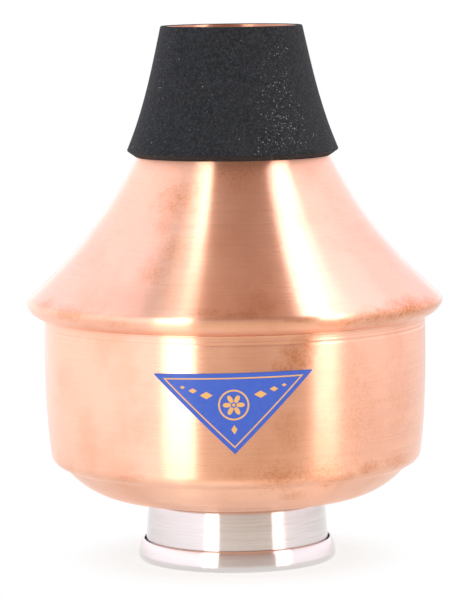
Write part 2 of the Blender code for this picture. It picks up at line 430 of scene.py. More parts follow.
class TurnedCoordinates(EffectGroup):
    """Coordinates that wrap round the axis with no seam and run along the turned outline."""

    name = "turned_coordinates"
    inputs = {"Wrap": 1.0, "Pitch": 1000.0}
    outputs = ("Vector",)

    @classmethod
    def wire(cls, wiring: Wiring, given: dict[str, Socket]) -> dict[str, Socket]:
        """Put the direction round the axis in X and Y, and the way along the outline in Z.

        Args:
            wiring: Wiring of the group.
            given: The group's inputs by name.

        Returns:
            What each output gets.
        """
        place = wiring.add("SeparateXYZ", {0: wiring.here()})
        flat = wiring.add("CombineXYZ", {0: place.outputs[0], 1: place.outputs[1]}).outputs[0]
        facing = {0: wiring.vector("NORMALIZE", flat), "Scale": given["Wrap"]}
        round_axis = wiring.add("VectorMath", facing, operation="SCALE").outputs["Vector"]
        along = wiring.math("SUBTRACT", place.outputs[2], wiring.length(flat))
        lift = wiring.add("CombineXYZ", {2: wiring.math("MULTIPLY", along, given["Pitch"])}).outputs[0]
        return {"Vector": wiring.vector("ADD", round_axis, lift)}


class RingLines(EffectGroup):
    """Lines that spinning and brushing leave round the axis."""

    name = "ring_lines"
    inputs = {"Wrap": 1.5, "Pitch": 2600.0, "Ripple Pitch": 260.0}
    outputs = ("Lines", "Ripples")
    ripple_wrap = 0.35

    @classmethod
    def wire(cls, wiring: Wiring, given: dict[str, Socket]) -> dict[str, Socket]:
        """Draw fine lines from one long-drawn noise and slow ripples from another.

        Args:
            wiring: Wiring of the group.
            given: The group's inputs by name.

        Returns:
            What each output gets.
        """
        fine = wiring.place(TurnedCoordinates, Wrap=given["Wrap"], Pitch=given["Pitch"]).outputs[0]
        slow = wiring.place(TurnedCoordinates, Wrap=cls.ripple_wrap, Pitch=given["Ripple Pitch"]).outputs[0]
        return {
            "Lines": wiring.noise(fine, 1.0, detail=3.0, roughness=0.7),
            "Ripples": wiring.noise(slow, 1.0, detail=1.0),
        }


class Blotches(EffectGroup):
    """Cloudy patches, such as tarnish and handling leave."""

    name = "blotches"
    inputs = {"Scale": 60.0, "Cover": 0.5, "Edge": 0.12}
    outputs = ("Mask",)

    @classmethod
    def wire(cls, wiring: Wiring, given: dict[str, Socket]) -> dict[str, Socket]:
        """Cut a noise off softly so that about the share Cover of the surface is in the mask.

        Args:
            wiring: Wiring of the group.
            given: The group's inputs by name.

        Returns:
            What each output gets.
        """
        cloud = wiring.noise(wiring.here(), given["Scale"], detail=5.0, roughness=0.62)
        level = wiring.math("SUBTRACT", 1.0, given["Cover"])
        mask = wiring.math("DIVIDE", wiring.math("SUBTRACT", cloud, level), given["Edge"])
        return {"Mask": wiring.math("ADD", mask, 0.5, clamp=True)}


class Smudge(EffectGroup):
    """One ragged spot at a place on the surface.

    Attributes:
        rags: Noise units to a metre of the ragged edge.
        raggedness: How far the noise moves the edge, in reaches.
        fade: Distance at which the spot starts and at which it is full, in reaches.
    """

    name = "smudge"
    inputs = {"Place": (0.0, 0.0, 0.0), "Reach": 0.005, "Stretch": 1.0}
    outputs = ("Mask",)
    rags = 420.0
    raggedness = 1.5
    fade = (1.75, 0.75)

    @classmethod
    def wire(cls, wiring: Wiring, given: dict[str, Socket]) -> dict[str, Socket]:
        """Fade from the place outward over a distance that noise makes uneven.

        Args:
            wiring: Wiring of the group.
            given: The group's inputs by name.

        Returns:
            What each output gets.
        """
        place = wiring.here()
        tall = wiring.add("CombineXYZ", {0: 1.0, 1: 1.0, 2: given["Stretch"]}).outputs[0]
        apart = wiring.vector("MULTIPLY", wiring.vector("SUBTRACT", place, given["Place"]), tall)
        share = wiring.math("DIVIDE", wiring.length(apart), given["Reach"])
        noise = wiring.noise(place, cls.rags, detail=5.0, roughness=0.7)
        rags = wiring.math("MULTIPLY", noise, cls.raggedness)
        return {"Mask": wiring.span(wiring.math("ADD", share, rags), *cls.fade)}


class Grain(EffectGroup):
    """Fine open grain with sparse bright specks.

    Attributes:
        speck_edge: Distance from a cell's middle at which a speck starts and at which it is full.
        glints: How bright the dullest and the brightest specks are.
    """

    name = "grain"
    inputs = {"Scale": 2600.0, "Speck Scale": 2100.0, "Speck Share": 0.0}
    outputs = ("Grain", "Specks")
    speck_edge = (0.45, 0.12)
    glints = (0.15, 1.0)

    @classmethod
    def wire(cls, wiring: Wiring, given: dict[str, Socket]) -> dict[str, Socket]:
        """Draw grain from noise, and specks from the few cells of a pattern that draw a high number.

        Args:
            wiring: Wiring of the group.
            given: The group's inputs by name.

        Returns:
            What each output gets.
        """
        place = wiring.here()
        cells = wiring.add("TexVoronoi", {"Vector": place, "Scale": given["Speck Scale"]})
        drawn = wiring.add("SeparateColor", {0: cells.outputs["Color"]})
        level = wiring.math("SUBTRACT", 1.0, given["Speck Share"])
        chosen = wiring.math("GREATER_THAN", drawn.outputs[0], level)
        core = wiring.span(cells.outputs["Distance"], *cls.speck_edge)
        glint = wiring.span(drawn.outputs[1], 0.0, 1.0, cls.glints)
        return {
            "Grain": wiring.noise(place, given["Scale"], detail=4.0, roughness=0.7),
            "Specks": wiring.math("MULTIPLY", chosen, wiring.math("MULTIPLY", core, glint)),
        }


def new_finish(name: str) -> tuple[Finish, Wiring, Node]:
    """Make a material.

    Args:
        name: Its name.

    Returns:
        The material, its wiring and its Principled shader.
    """
    finish = bpy.data.materials.new(name)
    finish.use_nodes = True
    return finish, Wiring(finish.node_tree), finish.node_tree.nodes["Principled BSDF"]


@dataclass(frozen=True)
class Patches:
    """Cloudy patches of one size and softness.

    Attributes:
        scale: Noise units to a metre.
        cover: Share of the surface that is in them.
        edge: How softly they end.
    """

    scale: float
    cover: float
    edge: float

    def mask(self, wiring: Wiring) -> Socket:
        """Place the effect and return its mask."""
        return wiring.place(Blotches, Scale=self.scale, Cover=self.cover, Edge=self.edge).outputs[0]


@dataclass(frozen=True)
class Spot:
    """A spot on a turned surface, its lengths in millimetres. Spots stand for tarnish and dust, and some of
    them for painted shade and painted glints.

    Attributes:
        azimuth: Where it is round the axis, in degrees.
        radius: Distance from the axis.
        height: Height above the foot.
        reach: How far it spreads.
        strength: How strong it is, from 0 to 1.
        stretch: How much shorter it is along the axis than round it.
    """

    azimuth: float
    radius: float
    height: float
    reach: float
    strength: float
    stretch: float

    def mask(self, wiring: Wiring) -> Socket:
        """Place the spot.

        Args:
            wiring: Wiring of the material.

        Returns:
            The spot's mask.
        """
        angle, radius = math.radians(self.azimuth), self.radius * MM
        place = (radius * math.sin(angle), -radius * math.cos(angle), self.height * MM)
        smudge = wiring.place(Smudge, Place=place, Reach=self.reach * MM, Stretch=self.stretch)
        return wiring.math("MULTIPLY", smudge.outputs[0], self.strength)


def spotted(wiring: Wiring, spots: Iterable[Spot], least: float = 0.0) -> object:
    """Overlay spots.

    Args:
        wiring: Wiring of the material.
        spots: The spots.
        least: The strength between them.

    Returns:
        The strength of the strongest spot at each place.
    """
    strength: object = least
    for spot in spots:
        strength = wiring.math("MAXIMUM", strength, spot.mask(wiring))
    return strength


@dataclass(frozen=True)
class BrushedMetal:
    """Sheet metal spun and brushed round the axis.

    Attributes:
        name: Name of the material.
        base: Its clean colour.
        tarnish: The colour that tarnish tends to.
        tarnish_share: How much of the surface is a little tarnished.
        tarnish_depth: How far the colour goes there.
        fleck_depth: How far the colour goes in the small flecks, as a share of tarnish_depth.
        roughness: Its roughness.
        rough_swing: How far the fine lines take the roughness up and down.
        stain_roughness: What full tarnish adds to the roughness.
        anisotropy: How much sharper it reflects round the axis than along it.
        turned: Turn of that direction, as a share of a full turn.
        line_pitch: Noise units to a metre of the fine lines.
        line_range: Values of the noise at which the fine lines are darkest and lightest.
        line_shades: How dark and how light they are.
        line_depth: Height of the fine lines.
        ripple_depth: Height of the slow ripples.
        mottle_swing: How weak and how strong the spots are in their mottling.
        spots: Its spots, which take it towards the tarnish colour. Most are tarnish; some are painted shade.
    """

    name: str
    base: Colour
    tarnish: Colour
    tarnish_share: float = 0.42
    tarnish_depth: float = 0.25
    fleck_depth: float = 0.3
    roughness: float = 0.29
    rough_swing: float = 0.035
    stain_roughness: float = 0.12
    anisotropy: float = 1.0
    turned: float = 0.25
    line_pitch: float = 2600.0
    line_range: Point = (0.2, 0.8)
    line_shades: Point = (0.93, 1.04)
    line_depth: float = 0.004 * MM
    ripple_depth: float = 0.02 * MM
    mottle_swing: Point = (0.75, 1.25)
    spots: tuple[Spot, ...] = ()

    def build(self) -> Finish:
        """Wire the material.

        Returns:
            The material.
        """
        finish, wiring, shader = new_finish(self.name)
        rings = wiring.place(RingLines, Pitch=self.line_pitch)
        lines = rings.outputs["Lines"]
        clouds = Patches(55.0, self.tarnish_share, 0.22).mask(wiring)
        flecks = Patches(420.0, 0.36, 0.10).mask(wiring)
        stain = wiring.math(
            "ADD",
            wiring.math("MULTIPLY", clouds, self.tarnish_depth),
            wiring.math("MULTIPLY", flecks, self.tarnish_depth * self.fleck_depth),
        )
        mottle = wiring.span(Patches(1500.0, 0.47, 0.08).mask(wiring), 0.0, 1.0, self.mottle_swing)
        # The spots, mottled: tarnish, and on the upper shell also painted shade under the collar.
        worn = wiring.math("MULTIPLY", spotted(wiring, self.spots), mottle)
        stain = wiring.math("MAXIMUM", stain, worn)
        clean = wiring.shaded(self.base, wiring.span(lines, *self.line_range, self.line_shades))
        swing = (self.roughness - self.rough_swing, self.roughness + self.rough_swing)
        rough = wiring.span(lines, *self.line_range, swing)
        ripples = wiring.bump(rings.outputs["Ripples"], self.ripple_depth)
        wiring.feed(shader, {
            "Base Color": wiring.blend(stain, clean, self.tarnish),
            "Roughness": wiring.math("ADD", rough, wiring.math("MULTIPLY", stain, self.stain_roughness)),
            "Normal": wiring.bump(lines, self.line_depth, Normal=ripples),
            "Tangent": wiring.add("Tangent", direction_type="RADIAL", axis="Z").outputs[0],
            "Metallic": 1.0,
            "Anisotropic": self.anisotropy,
            "Anisotropic Rotation": self.turned,
        })
        return finish


@dataclass(frozen=True)
class GrainedRubber:
    """Dense black rubber and cork foam.

    Attributes:
        name: Name of the material.
        base: Its colour.
        worn: Its colour where it is worn.
        worn_depth: How far the colour goes there.
        speck: Colour of the specks in it, which are real flecks and dust, and in part painted glints.
        speck_scale: How many specks there could be to a metre.
        speck_share: How many of them there are between the spots of dust and painted glints.
        dust_and_glints: Where the specks lie thick, as dust and as painted glints on the side that the light
            falls on.
        grain_range: Values of the grain at which it is darkest and lightest.
        grain_shades: How dark and how light it is.
        mottle_shades: How dark and how light the mottling is.
        rough: Its roughness where the grain is darkest and lightest.
        grain_depth: Height of the grain.
    """

    name: str = "grained_rubber"
    base: Colour = (0.0105, 0.0125, 0.0165)
    worn: Colour = (0.022, 0.023, 0.026)
    worn_depth: float = 0.35
    speck: Colour = (0.46, 0.45, 0.43)
    speck_scale: float = 2700.0
    speck_share: float = 0.010
    # Where the specks lie thick: dust, and painted glints on the side that the light falls on.
    dust_and_glints: tuple[Spot, ...] = (
        Spot(33.0, 22.6, 104.0, 8.0, 0.42, 0.6),
        Spot(31.0, 20.0, 112.0, 7.0, 0.25, 0.5),
        Spot(38.0, 18.0, 122.0, 5.0, 0.16, 0.6),
        Spot(22.0, 24.0, 100.5, 8.0, 0.28, 1.2),
    )
    grain_range: Point = (0.3, 0.7)
    grain_shades: Point = (0.15, 2.4)
    mottle_shades: Point = (0.55, 1.55)
    rough: Point = (0.95, 0.75)
    grain_depth: float = 0.25 * MM

    def build(self) -> Finish:
        """Wire the material.

        Returns:
            The material.
        """
        finish, wiring, shader = new_finish(self.name)
        share = spotted(wiring, self.dust_and_glints, self.speck_share)
        effect = wiring.place(Grain, **{"Speck Share": share, "Speck Scale": self.speck_scale})
        grain = effect.outputs["Grain"]
        mottle = wiring.span(Patches(1150.0, 0.5, 0.35).mask(wiring), 0.0, 1.0, self.mottle_shades)
        shade = wiring.math("MULTIPLY", wiring.span(grain, *self.grain_range, self.grain_shades), mottle)
        wear = wiring.math("MULTIPLY", Patches(140.0, 0.5, 0.4).mask(wiring), self.worn_depth)
        ground = wiring.blend(wear, wiring.shaded(self.base, shade), self.worn)
        # Specks painted into the colour: flecks and dust, and painted glints where they lie thick.
        wiring.feed(shader, {
            "Base Color": wiring.blend(effect.outputs["Specks"], ground, self.speck),
            "Roughness": wiring.span(grain, *self.grain_range, self.rough),
            "Normal": wiring.bump(grain, self.grain_depth, Strength=0.8),
            "Specular IOR Level": 0.15,
            "Sheen Weight": 0.04,
            "Sheen Roughness": 0.5,
        })
        return finish


@dataclass(frozen=True)
class SandedCork:
    """Sanded cork.

    Attributes:
        name: Name of the material.
        base: Its colour.
        fleck: Colour of its dark flecks.
        grain_range: Values of the grain at which it is roughest and smoothest.
        rough: Its roughness there.
        grain_depth: Height of the grain.
    """

    name: str = "sanded_cork"
    base: Colour = (0.42, 0.24, 0.12)
    fleck: Colour = (0.14, 0.065, 0.03)
    grain_range: Point = (0.3, 0.7)
    rough: Point = (0.95, 0.8)
    grain_depth: float = 0.2 * MM

    def build(self) -> Finish:
        """Wire the material.

        Returns:
            The material.
        """
        finish, wiring, shader = new_finish(self.name)
        grain = wiring.place(Grain, Scale=1400.0).outputs["Grain"]
        flecks = Patches(700.0, 0.36, 0.08).mask(wiring)
        wiring.feed(shader, {
            "Base Color": wiring.blend(flecks, self.base, self.fleck),
            "Roughness": wiring.span(grain, *self.grain_range, self.rough),
            "Normal": wiring.bump(grain, self.grain_depth),
        })
        return finish


@dataclass(frozen=True)
class PrintedFoil:
    """Blue foil with a design printed in gold: a border line, a ringed rosette and lozenges.

    Attributes:
        half_width: Half of the triangle's upper edge.
        height: From the upper edge to the tip.
        top: Height of the upper edge above the foot.
        wall_radius: Radius of the wall that carries the foil.
        tilt: How far the right end is turned up, in radians.
        name: Name of the material.
        ground: Colour of the foil.
        worn: Its colour where it is worn.
        worn_depth: How far the colour goes there.
        ink: Colour of the print.
        ink_depth: Height of the print.
        soft: How far the edges of the rosette fade, to each side.
        border: How far the border line lies in from the edge, and half of its width.
        drop: How far the rosette lies under the upper edge.
        petals: Reach of the rosette's petals.
        petal_count: How many petals it has.
        petal_curve: Power that shapes them, which fills them out where it is under 1.
        heart: Radii at which the gap round the rosette's middle starts and is full.
        pip: The same of its middle.
        ring: Radius of the ring round it, and half of the ring's width.
        lozenges: Each as how far it lies off the middle, to both sides, and under the upper edge,
            then half of its width and of its height, in millimetres.
        lozenge_edge: Where their edges fade out and are full, as shares of their size.
        line_edge: The same of the lines, as shares of half their width.
        rough: Its clean roughness, and what wear adds.
    """

    half_width: float
    height: float
    top: float
    wall_radius: float
    tilt: float
    name: str = "printed_foil"
    ground: Colour = (0.056, 0.122, 0.560)
    worn: Colour = (0.10, 0.19, 0.60)
    worn_depth: float = 0.22
    ink: Colour = (0.78, 0.44, 0.15)
    ink_depth: float = 0.02 * MM
    soft: float = 0.08 * MM
    border: Point = (1.15 * MM, 0.16 * MM)
    drop: float = 7.3 * MM
    petals: float = 2.5 * MM
    petal_count: int = 6
    petal_curve: float = 0.7
    heart: Point = (0.75 * MM, 0.60 * MM)
    pip: Point = (0.45 * MM, 0.32 * MM)
    ring: Point = (3.35 * MM, 0.2 * MM)
    lozenges: tuple[tuple[float, float, float, float], ...] = (
        (6.2, 5.0, 1.5, 0.85),
        (9.3, 3.9, 1.0, 0.6),
        (11.7, 3.1, 0.6, 0.4),
        (0.0, 13.0, 0.7, 1.1),
    )
    lozenge_edge: Point = (1.08, 0.92)
    line_edge: Point = (1.3, 0.7)
    rough: Point = (0.22, 0.06)

    def build(self) -> Finish:
        """Wire the material.

        Returns:
            The material.
        """
        finish, wiring, shader = new_finish(self.name)
        ink = self.design(wiring)
        wear = Patches(900.0, 0.42, 0.3).mask(wiring)
        ground = wiring.blend(wiring.math("MULTIPLY", wear, self.worn_depth), self.ground, self.worn)
        wiring.feed(shader, {
            "Base Color": wiring.blend(ink, ground, self.ink),
            "Roughness": wiring.math("ADD", wiring.math("MULTIPLY", wear, self.rough[1]), self.rough[0]),
            "Normal": wiring.bump(ink, self.ink_depth),
            "Specular IOR Level": 0.18,
        })
        return finish

    def design(self, wiring: Wiring) -> Socket:
        """Draw the design.

        Args:
            wiring: Wiring of the material.

        Returns:
            The mask of the print.
        """
        across, down = self.flat_place(wiring)
        edge = wiring.math("MINIMUM", down, self.side_distance(wiring, across, down))
        fall = wiring.math("SUBTRACT", down, self.drop)
        squares = [wiring.math("MULTIPLY", way, way) for way in (across, fall)]
        reach = wiring.math("SQRT", wiring.math("ADD", *squares))
        turned = wiring.math("MULTIPLY", wiring.math("ARCTAN2", fall, across), self.petal_count / 2)
        wave = wiring.math("ABSOLUTE", wiring.math("COSINE", turned))
        petal = wiring.math("POWER", wave, self.petal_curve)
        rim = wiring.math("SUBTRACT", reach, wiring.math("MULTIPLY", petal, self.petals))
        petals = wiring.span(rim, self.soft, -self.soft)
        flower = wiring.math("SUBTRACT", petals, wiring.span(reach, *self.heart), clamp=True)
        border, ring = self.band(wiring, edge, *self.border), self.band(wiring, reach, *self.ring)
        rosette = wiring.math("MAXIMUM", flower, wiring.span(reach, *self.pip))
        ink = wiring.math("MAXIMUM", wiring.math("MAXIMUM", border, ring), rosette)
        off_middle = wiring.math("ABSOLUTE", across)
        for lozenge in self.lozenges:
            side, level, wide, tall = (size * MM for size in lozenge)
            shares = [
                wiring.math("DIVIDE", wiring.math("ABSOLUTE", wiring.math("SUBTRACT", way, middle)), half)
                for way, middle, half in ((off_middle, side, wide), (down, level, tall))
            ]
            filled = wiring.span(wiring.math("ADD", *shares), *self.lozenge_edge)
            ink = wiring.math("MAXIMUM", ink, filled)
        return ink

    def flat_place(self, wiring: Wiring) -> tuple[Socket, Socket]:
        """Unroll the wall.

        Args:
            wiring: Wiring of the material.

        Returns:
            The way to the right of the middle, and down from the upper edge.
        """
        place = wiring.add("SeparateXYZ", {0: wiring.here()}).outputs
        facing = wiring.math("ARCTAN2", place[0], wiring.math("MULTIPLY", place[1], -1.0))
        right = wiring.math("MULTIPLY", facing, self.wall_radius)
        up = wiring.math("SUBTRACT", place[2], self.top)
        cos, sin = math.cos(self.tilt), math.sin(self.tilt)
        across = wiring.math("ADD", wiring.math("MULTIPLY", right, cos), wiring.math("MULTIPLY", up, sin))
        down = wiring.math("SUBTRACT", wiring.math("MULTIPLY", right, sin), wiring.math("MULTIPLY", up, cos))
        return across, down

    def side_distance(self, wiring: Wiring, across: Socket, down: Socket) -> Socket:
        """Measure in from the nearer slanted edge.

        Args:
            wiring: Wiring of the material.
            across: The way to the right of the middle.
            down: The way down from the upper edge.

        Returns:
            The distance.
        """
        room = wiring.math("SUBTRACT", self.half_width, wiring.math("ABSOLUTE", across))
        level = wiring.math("MULTIPLY", down, self.half_width / self.height)
        slant = self.height / math.hypot(self.half_width, self.height)
        return wiring.math("MULTIPLY", wiring.math("SUBTRACT", room, level), slant)

    def band(self, wiring: Wiring, value: Socket, middle: float, half: float) -> Socket:
        """Return a mask of the line where a value is near its middle."""
        off = wiring.math("ABSOLUTE", wiring.math("SUBTRACT", value, middle))
        return wiring.span(off, half * self.line_edge[0], half * self.line_edge[1])


@dataclass
class BodyShape:
    """Sizes of the copper body, and the places worked out from them.

    The normals are the angles that runs of the outline face, up from straight outward.

    Attributes:
        copper: Thickness of the sheet.
        fit_gap: Gap between the two shells.
        bead_turn: Angle that the underside of the lip faces where its rounding ends.
        mouth_curl: How far the neck's rim curls outward.
        mouth_height: How far down the curl reaches.
        hole_radius: Radius of the hole that the stem passes through.
    """

    copper: float = 0.5 * MM
    fit_gap: float = 0.3 * MM

    dome_rise: float = 7.65 * MM
    dome_flat_radius: float = 22.0 * MM
    dome_edge_slope: float = 1.13
    hole_radius: float = 9.2 * MM
    crease_inset: float = 4.56 * MM
    ledge_width: float = 1.5 * MM
    ledge_angle: float = math.radians(26.0)
    corner_round: float = 3.2 * MM

    wall_height: float = 33.0 * MM
    wall_tuck: float = 0.13
    lip_overhang: float = 4.14 * MM
    lip_round: float = 1.6 * MM
    lip_angle: float = math.radians(37.7)
    bead_turn: float = math.radians(-25.0)

    cone_height: float = 33.6 * MM
    cone_base_slope: float = 1.15
    throat_radius: float = 23.1 * MM
    throat_slope: float = 0.50
    neck_radius: float = 15.5 * MM
    neck_slope: float = 0.20
    mouth_curl: float = 0.25 * MM
    mouth_height: float = 1.6 * MM

    def __post_init__(self) -> None:
        """Work out the places and normals."""
        self.dome_z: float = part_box("lower_shell")[0].z
        self.radius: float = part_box("upper_shell")[1].x
        self.neck_top: Point = (self.neck_radius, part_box("upper_shell")[1].z)
        self.wall_radius: float = self.radius - self.lip_overhang
        self.ledge_normal: float = self.ledge_angle - math.pi / 2
        self.wall_normal: float = -math.atan(self.wall_tuck)
        self.lip_normal: float = self.lip_angle - math.pi / 2
        self.cone_normal: float = math.atan(self.cone_base_slope)

        self.crease: Point = (self.wall_radius - self.crease_inset, self.dome_z + self.dome_rise)
        ledge_climb = self.ledge_width * math.tan(self.ledge_angle)
        ledge_end = (self.crease[0] + self.ledge_width, self.crease[1] + ledge_climb)
        self.corner_centre: Point = on_circle(ledge_end, -self.corner_round, self.ledge_normal)
        self.wall_foot: Point = on_circle(self.corner_centre, self.corner_round, self.wall_normal)

        reach = self.fit_gap + self.copper * math.sin(self.lip_angle)
        self.lip_edge: Point = (self.wall_radius + reach, self.wall_foot[1] + self.wall_height)
        turn_radius = self.radius - self.lip_round + self.lip_round * math.cos(self.lip_normal)
        turn_z = self.lip_edge[1] + (turn_radius - self.lip_edge[0]) * math.tan(self.lip_angle)
        centre_z = turn_z - self.lip_round * math.sin(self.lip_normal)
        self.lip_centre: Point = (self.radius - self.lip_round, centre_z)
        self.cone_base: Point = on_circle(self.lip_centre, self.lip_round, self.cone_normal)
        self.throat: Point = (self.throat_radius, self.cone_base[1] + self.cone_height)

    def bead_curve(self, steps: int) -> list[Point]:
        """Work out the outer side of the rolled lip.

        Args:
            steps: How many runs each of its two roundings is cut into.

        Returns:
            The points from the foot of the cone round to the edge under the lip.
        """
        bead = arc(self.lip_centre, self.lip_round, self.cone_normal, self.bead_turn, steps)
        start, edge = bead[-1], self.lip_edge
        away = (edge[0] - start[0], edge[1] - start[1])
        facing = (math.cos(self.bead_turn), math.sin(self.bead_turn))
        radius = -(away[0] ** 2 + away[1] ** 2) / (2 * (away[0] * facing[0] + away[1] * facing[1]))
        centre = (start[0] - radius * facing[0], start[1] - radius * facing[1])
        last = math.atan2(edge[1] - centre[1], edge[0] - centre[0])
        return bead + arc(centre, radius, self.bead_turn, last, steps)[1:]

    def mouth_curve(self, steps: int) -> list[Point]:
        """Work out the top of the neck, whose rim curls outward a little.

        Args:
            steps: How many runs the whole of the neck would be cut into.

        Returns:
            The points from the rim down to where the curl ends.
        """
        points = []
        for radius, height in self.neck_curve(steps):
            share = 1 - (self.neck_top[1] - height) / self.mouth_height
            if share >= 0:
                points.append((radius + self.mouth_curl * share * share, height))
        return points

    def neck_curve(self, steps: int) -> list[Point]:
        """Return the outer side of the neck, from its rim down to the throat."""
        return flare(self.neck_top, self.throat, self.neck_slope, self.throat_slope, steps)

    def wall_point(self, t: float) -> Point:
        """Return the point of the wall's outer side that share of the way down from the lip."""
        return flare_point((self.wall_radius, self.lip_edge[1]), self.wall_foot, 0.0, -self.wall_tuck, t)

    def wall_curve(self, steps: int) -> list[Point]:
        """Return the outer side of the wall, from under the lip down to its foot."""
        return [self.wall_point(step / steps) for step in range(steps + 1)]

    def dome_curve(self, steps: int) -> list[Point]:
        """Work out the underside of the bottom.

        Args:
            steps: How many runs it is cut into.

        Returns:
            The points from the crease in to the flat middle.
        """
        run = self.crease[0] - self.dome_flat_radius
        points = []
        for step in range(steps + 1):
            t = 1 - step / steps
            climb = (3 * t**2 - 2 * t**3) * self.dome_rise + (t**3 - t**2) * run * self.dome_edge_slope
            points.append((self.dome_flat_radius + t * run, self.dome_z + climb))
        return points


@dataclass
class CopperBody:
    """The two spun shells, locked together at the lip.

    Attributes:
        shape: Their shared shape.
        ring_marks: The faint lines round the wall, each as how far it lies under the lip's edge,
            its relief and its half width.
        crease_round: Rounding of the crease over the dome.
        hook_round: Rounding of the rim's hook where it meets the wall.
        least_run: Least height between a finely cut stretch and the coarser one under it.
        copper: Colour of the outside.
        tarnish: Colour that its tarnish tends to.
        inside_copper: Colour of the inside.
    """

    shape: BodyShape
    ring_marks: tuple[tuple[float, float, float], ...] = (
        (0.16 * MM, 0.21 * MM, 0.30 * MM),
        (1.30 * MM, -0.05 * MM, 0.25 * MM),
        (2.20 * MM, -0.12 * MM, 0.32 * MM),
    )
    crease_round: float = 0.45 * MM
    hook_round: float = 0.6 * MM
    least_run: float = 0.2 * MM
    copper: Colour = (0.94, 0.545, 0.39)
    tarnish: Colour = (0.66, 0.24, 0.09)
    inside_copper: Colour = (0.88, 0.48, 0.33)

    def build(self) -> None:
        """Build and dress both shells."""
        inside = BrushedMetal(
            "copper_inside", self.inside_copper, self.tarnish,
            tarnish_share=0.5, tarnish_depth=0.35, roughness=0.36,
        ).build()
        upper = BrushedMetal(
            "copper_upper_shell", self.copper, self.tarnish, spots=self.upper_spots()
        ).build()
        lower = BrushedMetal(
            "copper_lower_shell", self.copper, self.tarnish, spots=self.lower_spots()
        ).build()
        dress(self.upper_shell(), Body.MUTE, ["upper_shell"], [upper, inside])
        dress(self.lower_shell(), Body.MUTE, ["lower_shell"], [lower, inside])

    def below(self, fine: list[Point], coarse: list[Point]) -> list[Point]:
        """Return the finely cut points with those of the coarser curve that lie under them."""
        return fine + [point for point in coarse if point[1] < fine[-1][1] - self.least_run]

    def upper_shell(self) -> Piece:
        """Build the neck, cone and rolled lip.

        Returns:
            The piece.
        """
        shape = self.shape
        # The curl of the rim is cut eight times finer than the neck under it.
        path = self.below(shape.mouth_curve(8 * 20), shape.neck_curve(20))
        path += flare(shape.throat, shape.cone_base, shape.throat_slope, shape.cone_base_slope, 40)[1:]
        path += shape.bead_curve(14)[1:]
        return turn("upper_shell_spun", sheet(path, shape.copper))

    def lower_shell(self) -> Piece:
        """Build the wall, the domed bottom and the rim that hooks into the lip.

        Returns:
            The piece.
        """
        shape = self.shape
        rim_round = shape.lip_round - shape.copper - shape.fit_gap
        path = arc(shape.lip_centre, rim_round, shape.cone_normal, shape.lip_normal, 8)
        hook_end = path[-1]
        flange_z = hook_end[1] - (hook_end[0] - shape.wall_radius) * math.tan(shape.lip_angle)
        # The top eleventh of the wall has the marks, and is cut five times finer than the rest.
        wall = self.below(shape.wall_curve(5 * 66)[:31], shape.wall_curve(66))
        path += fillet(hook_end, (shape.wall_radius, flange_z), wall[0], self.hook_round, 4)
        path += [(self.marked(radius, height), height) for radius, height in wall]
        path += arc(shape.corner_centre, shape.corner_round, shape.wall_normal, shape.ledge_normal, 16)[1:]
        dome = shape.dome_curve(36)
        path += fillet(path[-1], shape.crease, dome[1], self.crease_round, 4)
        path += dome[1:]
        path += runs(path[-1], (shape.hole_radius, shape.dome_z), 6)
        return turn("lower_shell_spun", sheet(path, shape.copper))

    def marked(self, radius: float, height: float) -> float:
        """Mark the wall with the faint lines that run round it under the lip.

        Args:
            radius: Radius of the plain wall.
            height: Height of the place.

        Returns:
            Radius of the marked wall.
        """
        for drop, relief, half_width in self.ring_marks:
            off = (height - (self.shape.lip_edge[1] - drop)) / half_width
            radius += relief * math.exp(-off * off)
        return radius

    def upper_spots(self) -> tuple[Spot, ...]:
        """List the spots of the cone and the lip. Most are tarnish; one is painted shade under the collar,
        and two make a darker line along the top of the lip at the front.

        Returns:
            The spots.
        """
        return (
            Spot(-28.0, 28.5, 88.8, 8.5, 0.50, 0.8),
            Spot(-30.0, 31.8, 83.6, 5.0, 0.38, 0.8),
            Spot(-22.7, 36.3, 77.1, 6.0, 0.40, 0.7),
            Spot(-26.0, 40.5, 72.5, 6.5, 0.40, 0.9),
            Spot(-20.0, 44.0, 69.0, 4.5, 0.25, 0.9),
            # Painted shade under the collar's overhang, at the top of the cone in front, in the tarnish
            # colour.
            Spot(3.0, 24.2, 94.8, 12.0, 0.42, 1.3),
            Spot(8.0, 47.0, 66.0, 9.0, 0.35, 1.6),
            # These two make a darker line along the top of the lip at the front, where the cone meets it.
            Spot(-7.0, 48.8, 64.4, 7.0, 0.50, 3.5),
            Spot(3.0, 49.3, 63.9, 10.0, 0.45, 6.0),
            Spot(31.0, 49.5, 61.2, 9.0, 0.60, 5.0),
            Spot(44.0, 49.9, 62.0, 16.0, 0.66, 5.0),
            Spot(56.0, 49.9, 62.7, 17.0, 0.80, 5.0),
            Spot(68.0, 49.7, 62.9, 14.0, 0.60, 4.5),
            Spot(-64.0, 49.4, 64.0, 7.0, 0.50, 3.0),
            Spot(-50.0, 49.9, 62.8, 13.0, 0.50, 4.5),
            Spot(-34.0, 49.6, 61.6, 12.0, 0.40, 5.0),
            Spot(18.0, 49.9, 62.6, 7.0, 0.45, 6.0),
        )

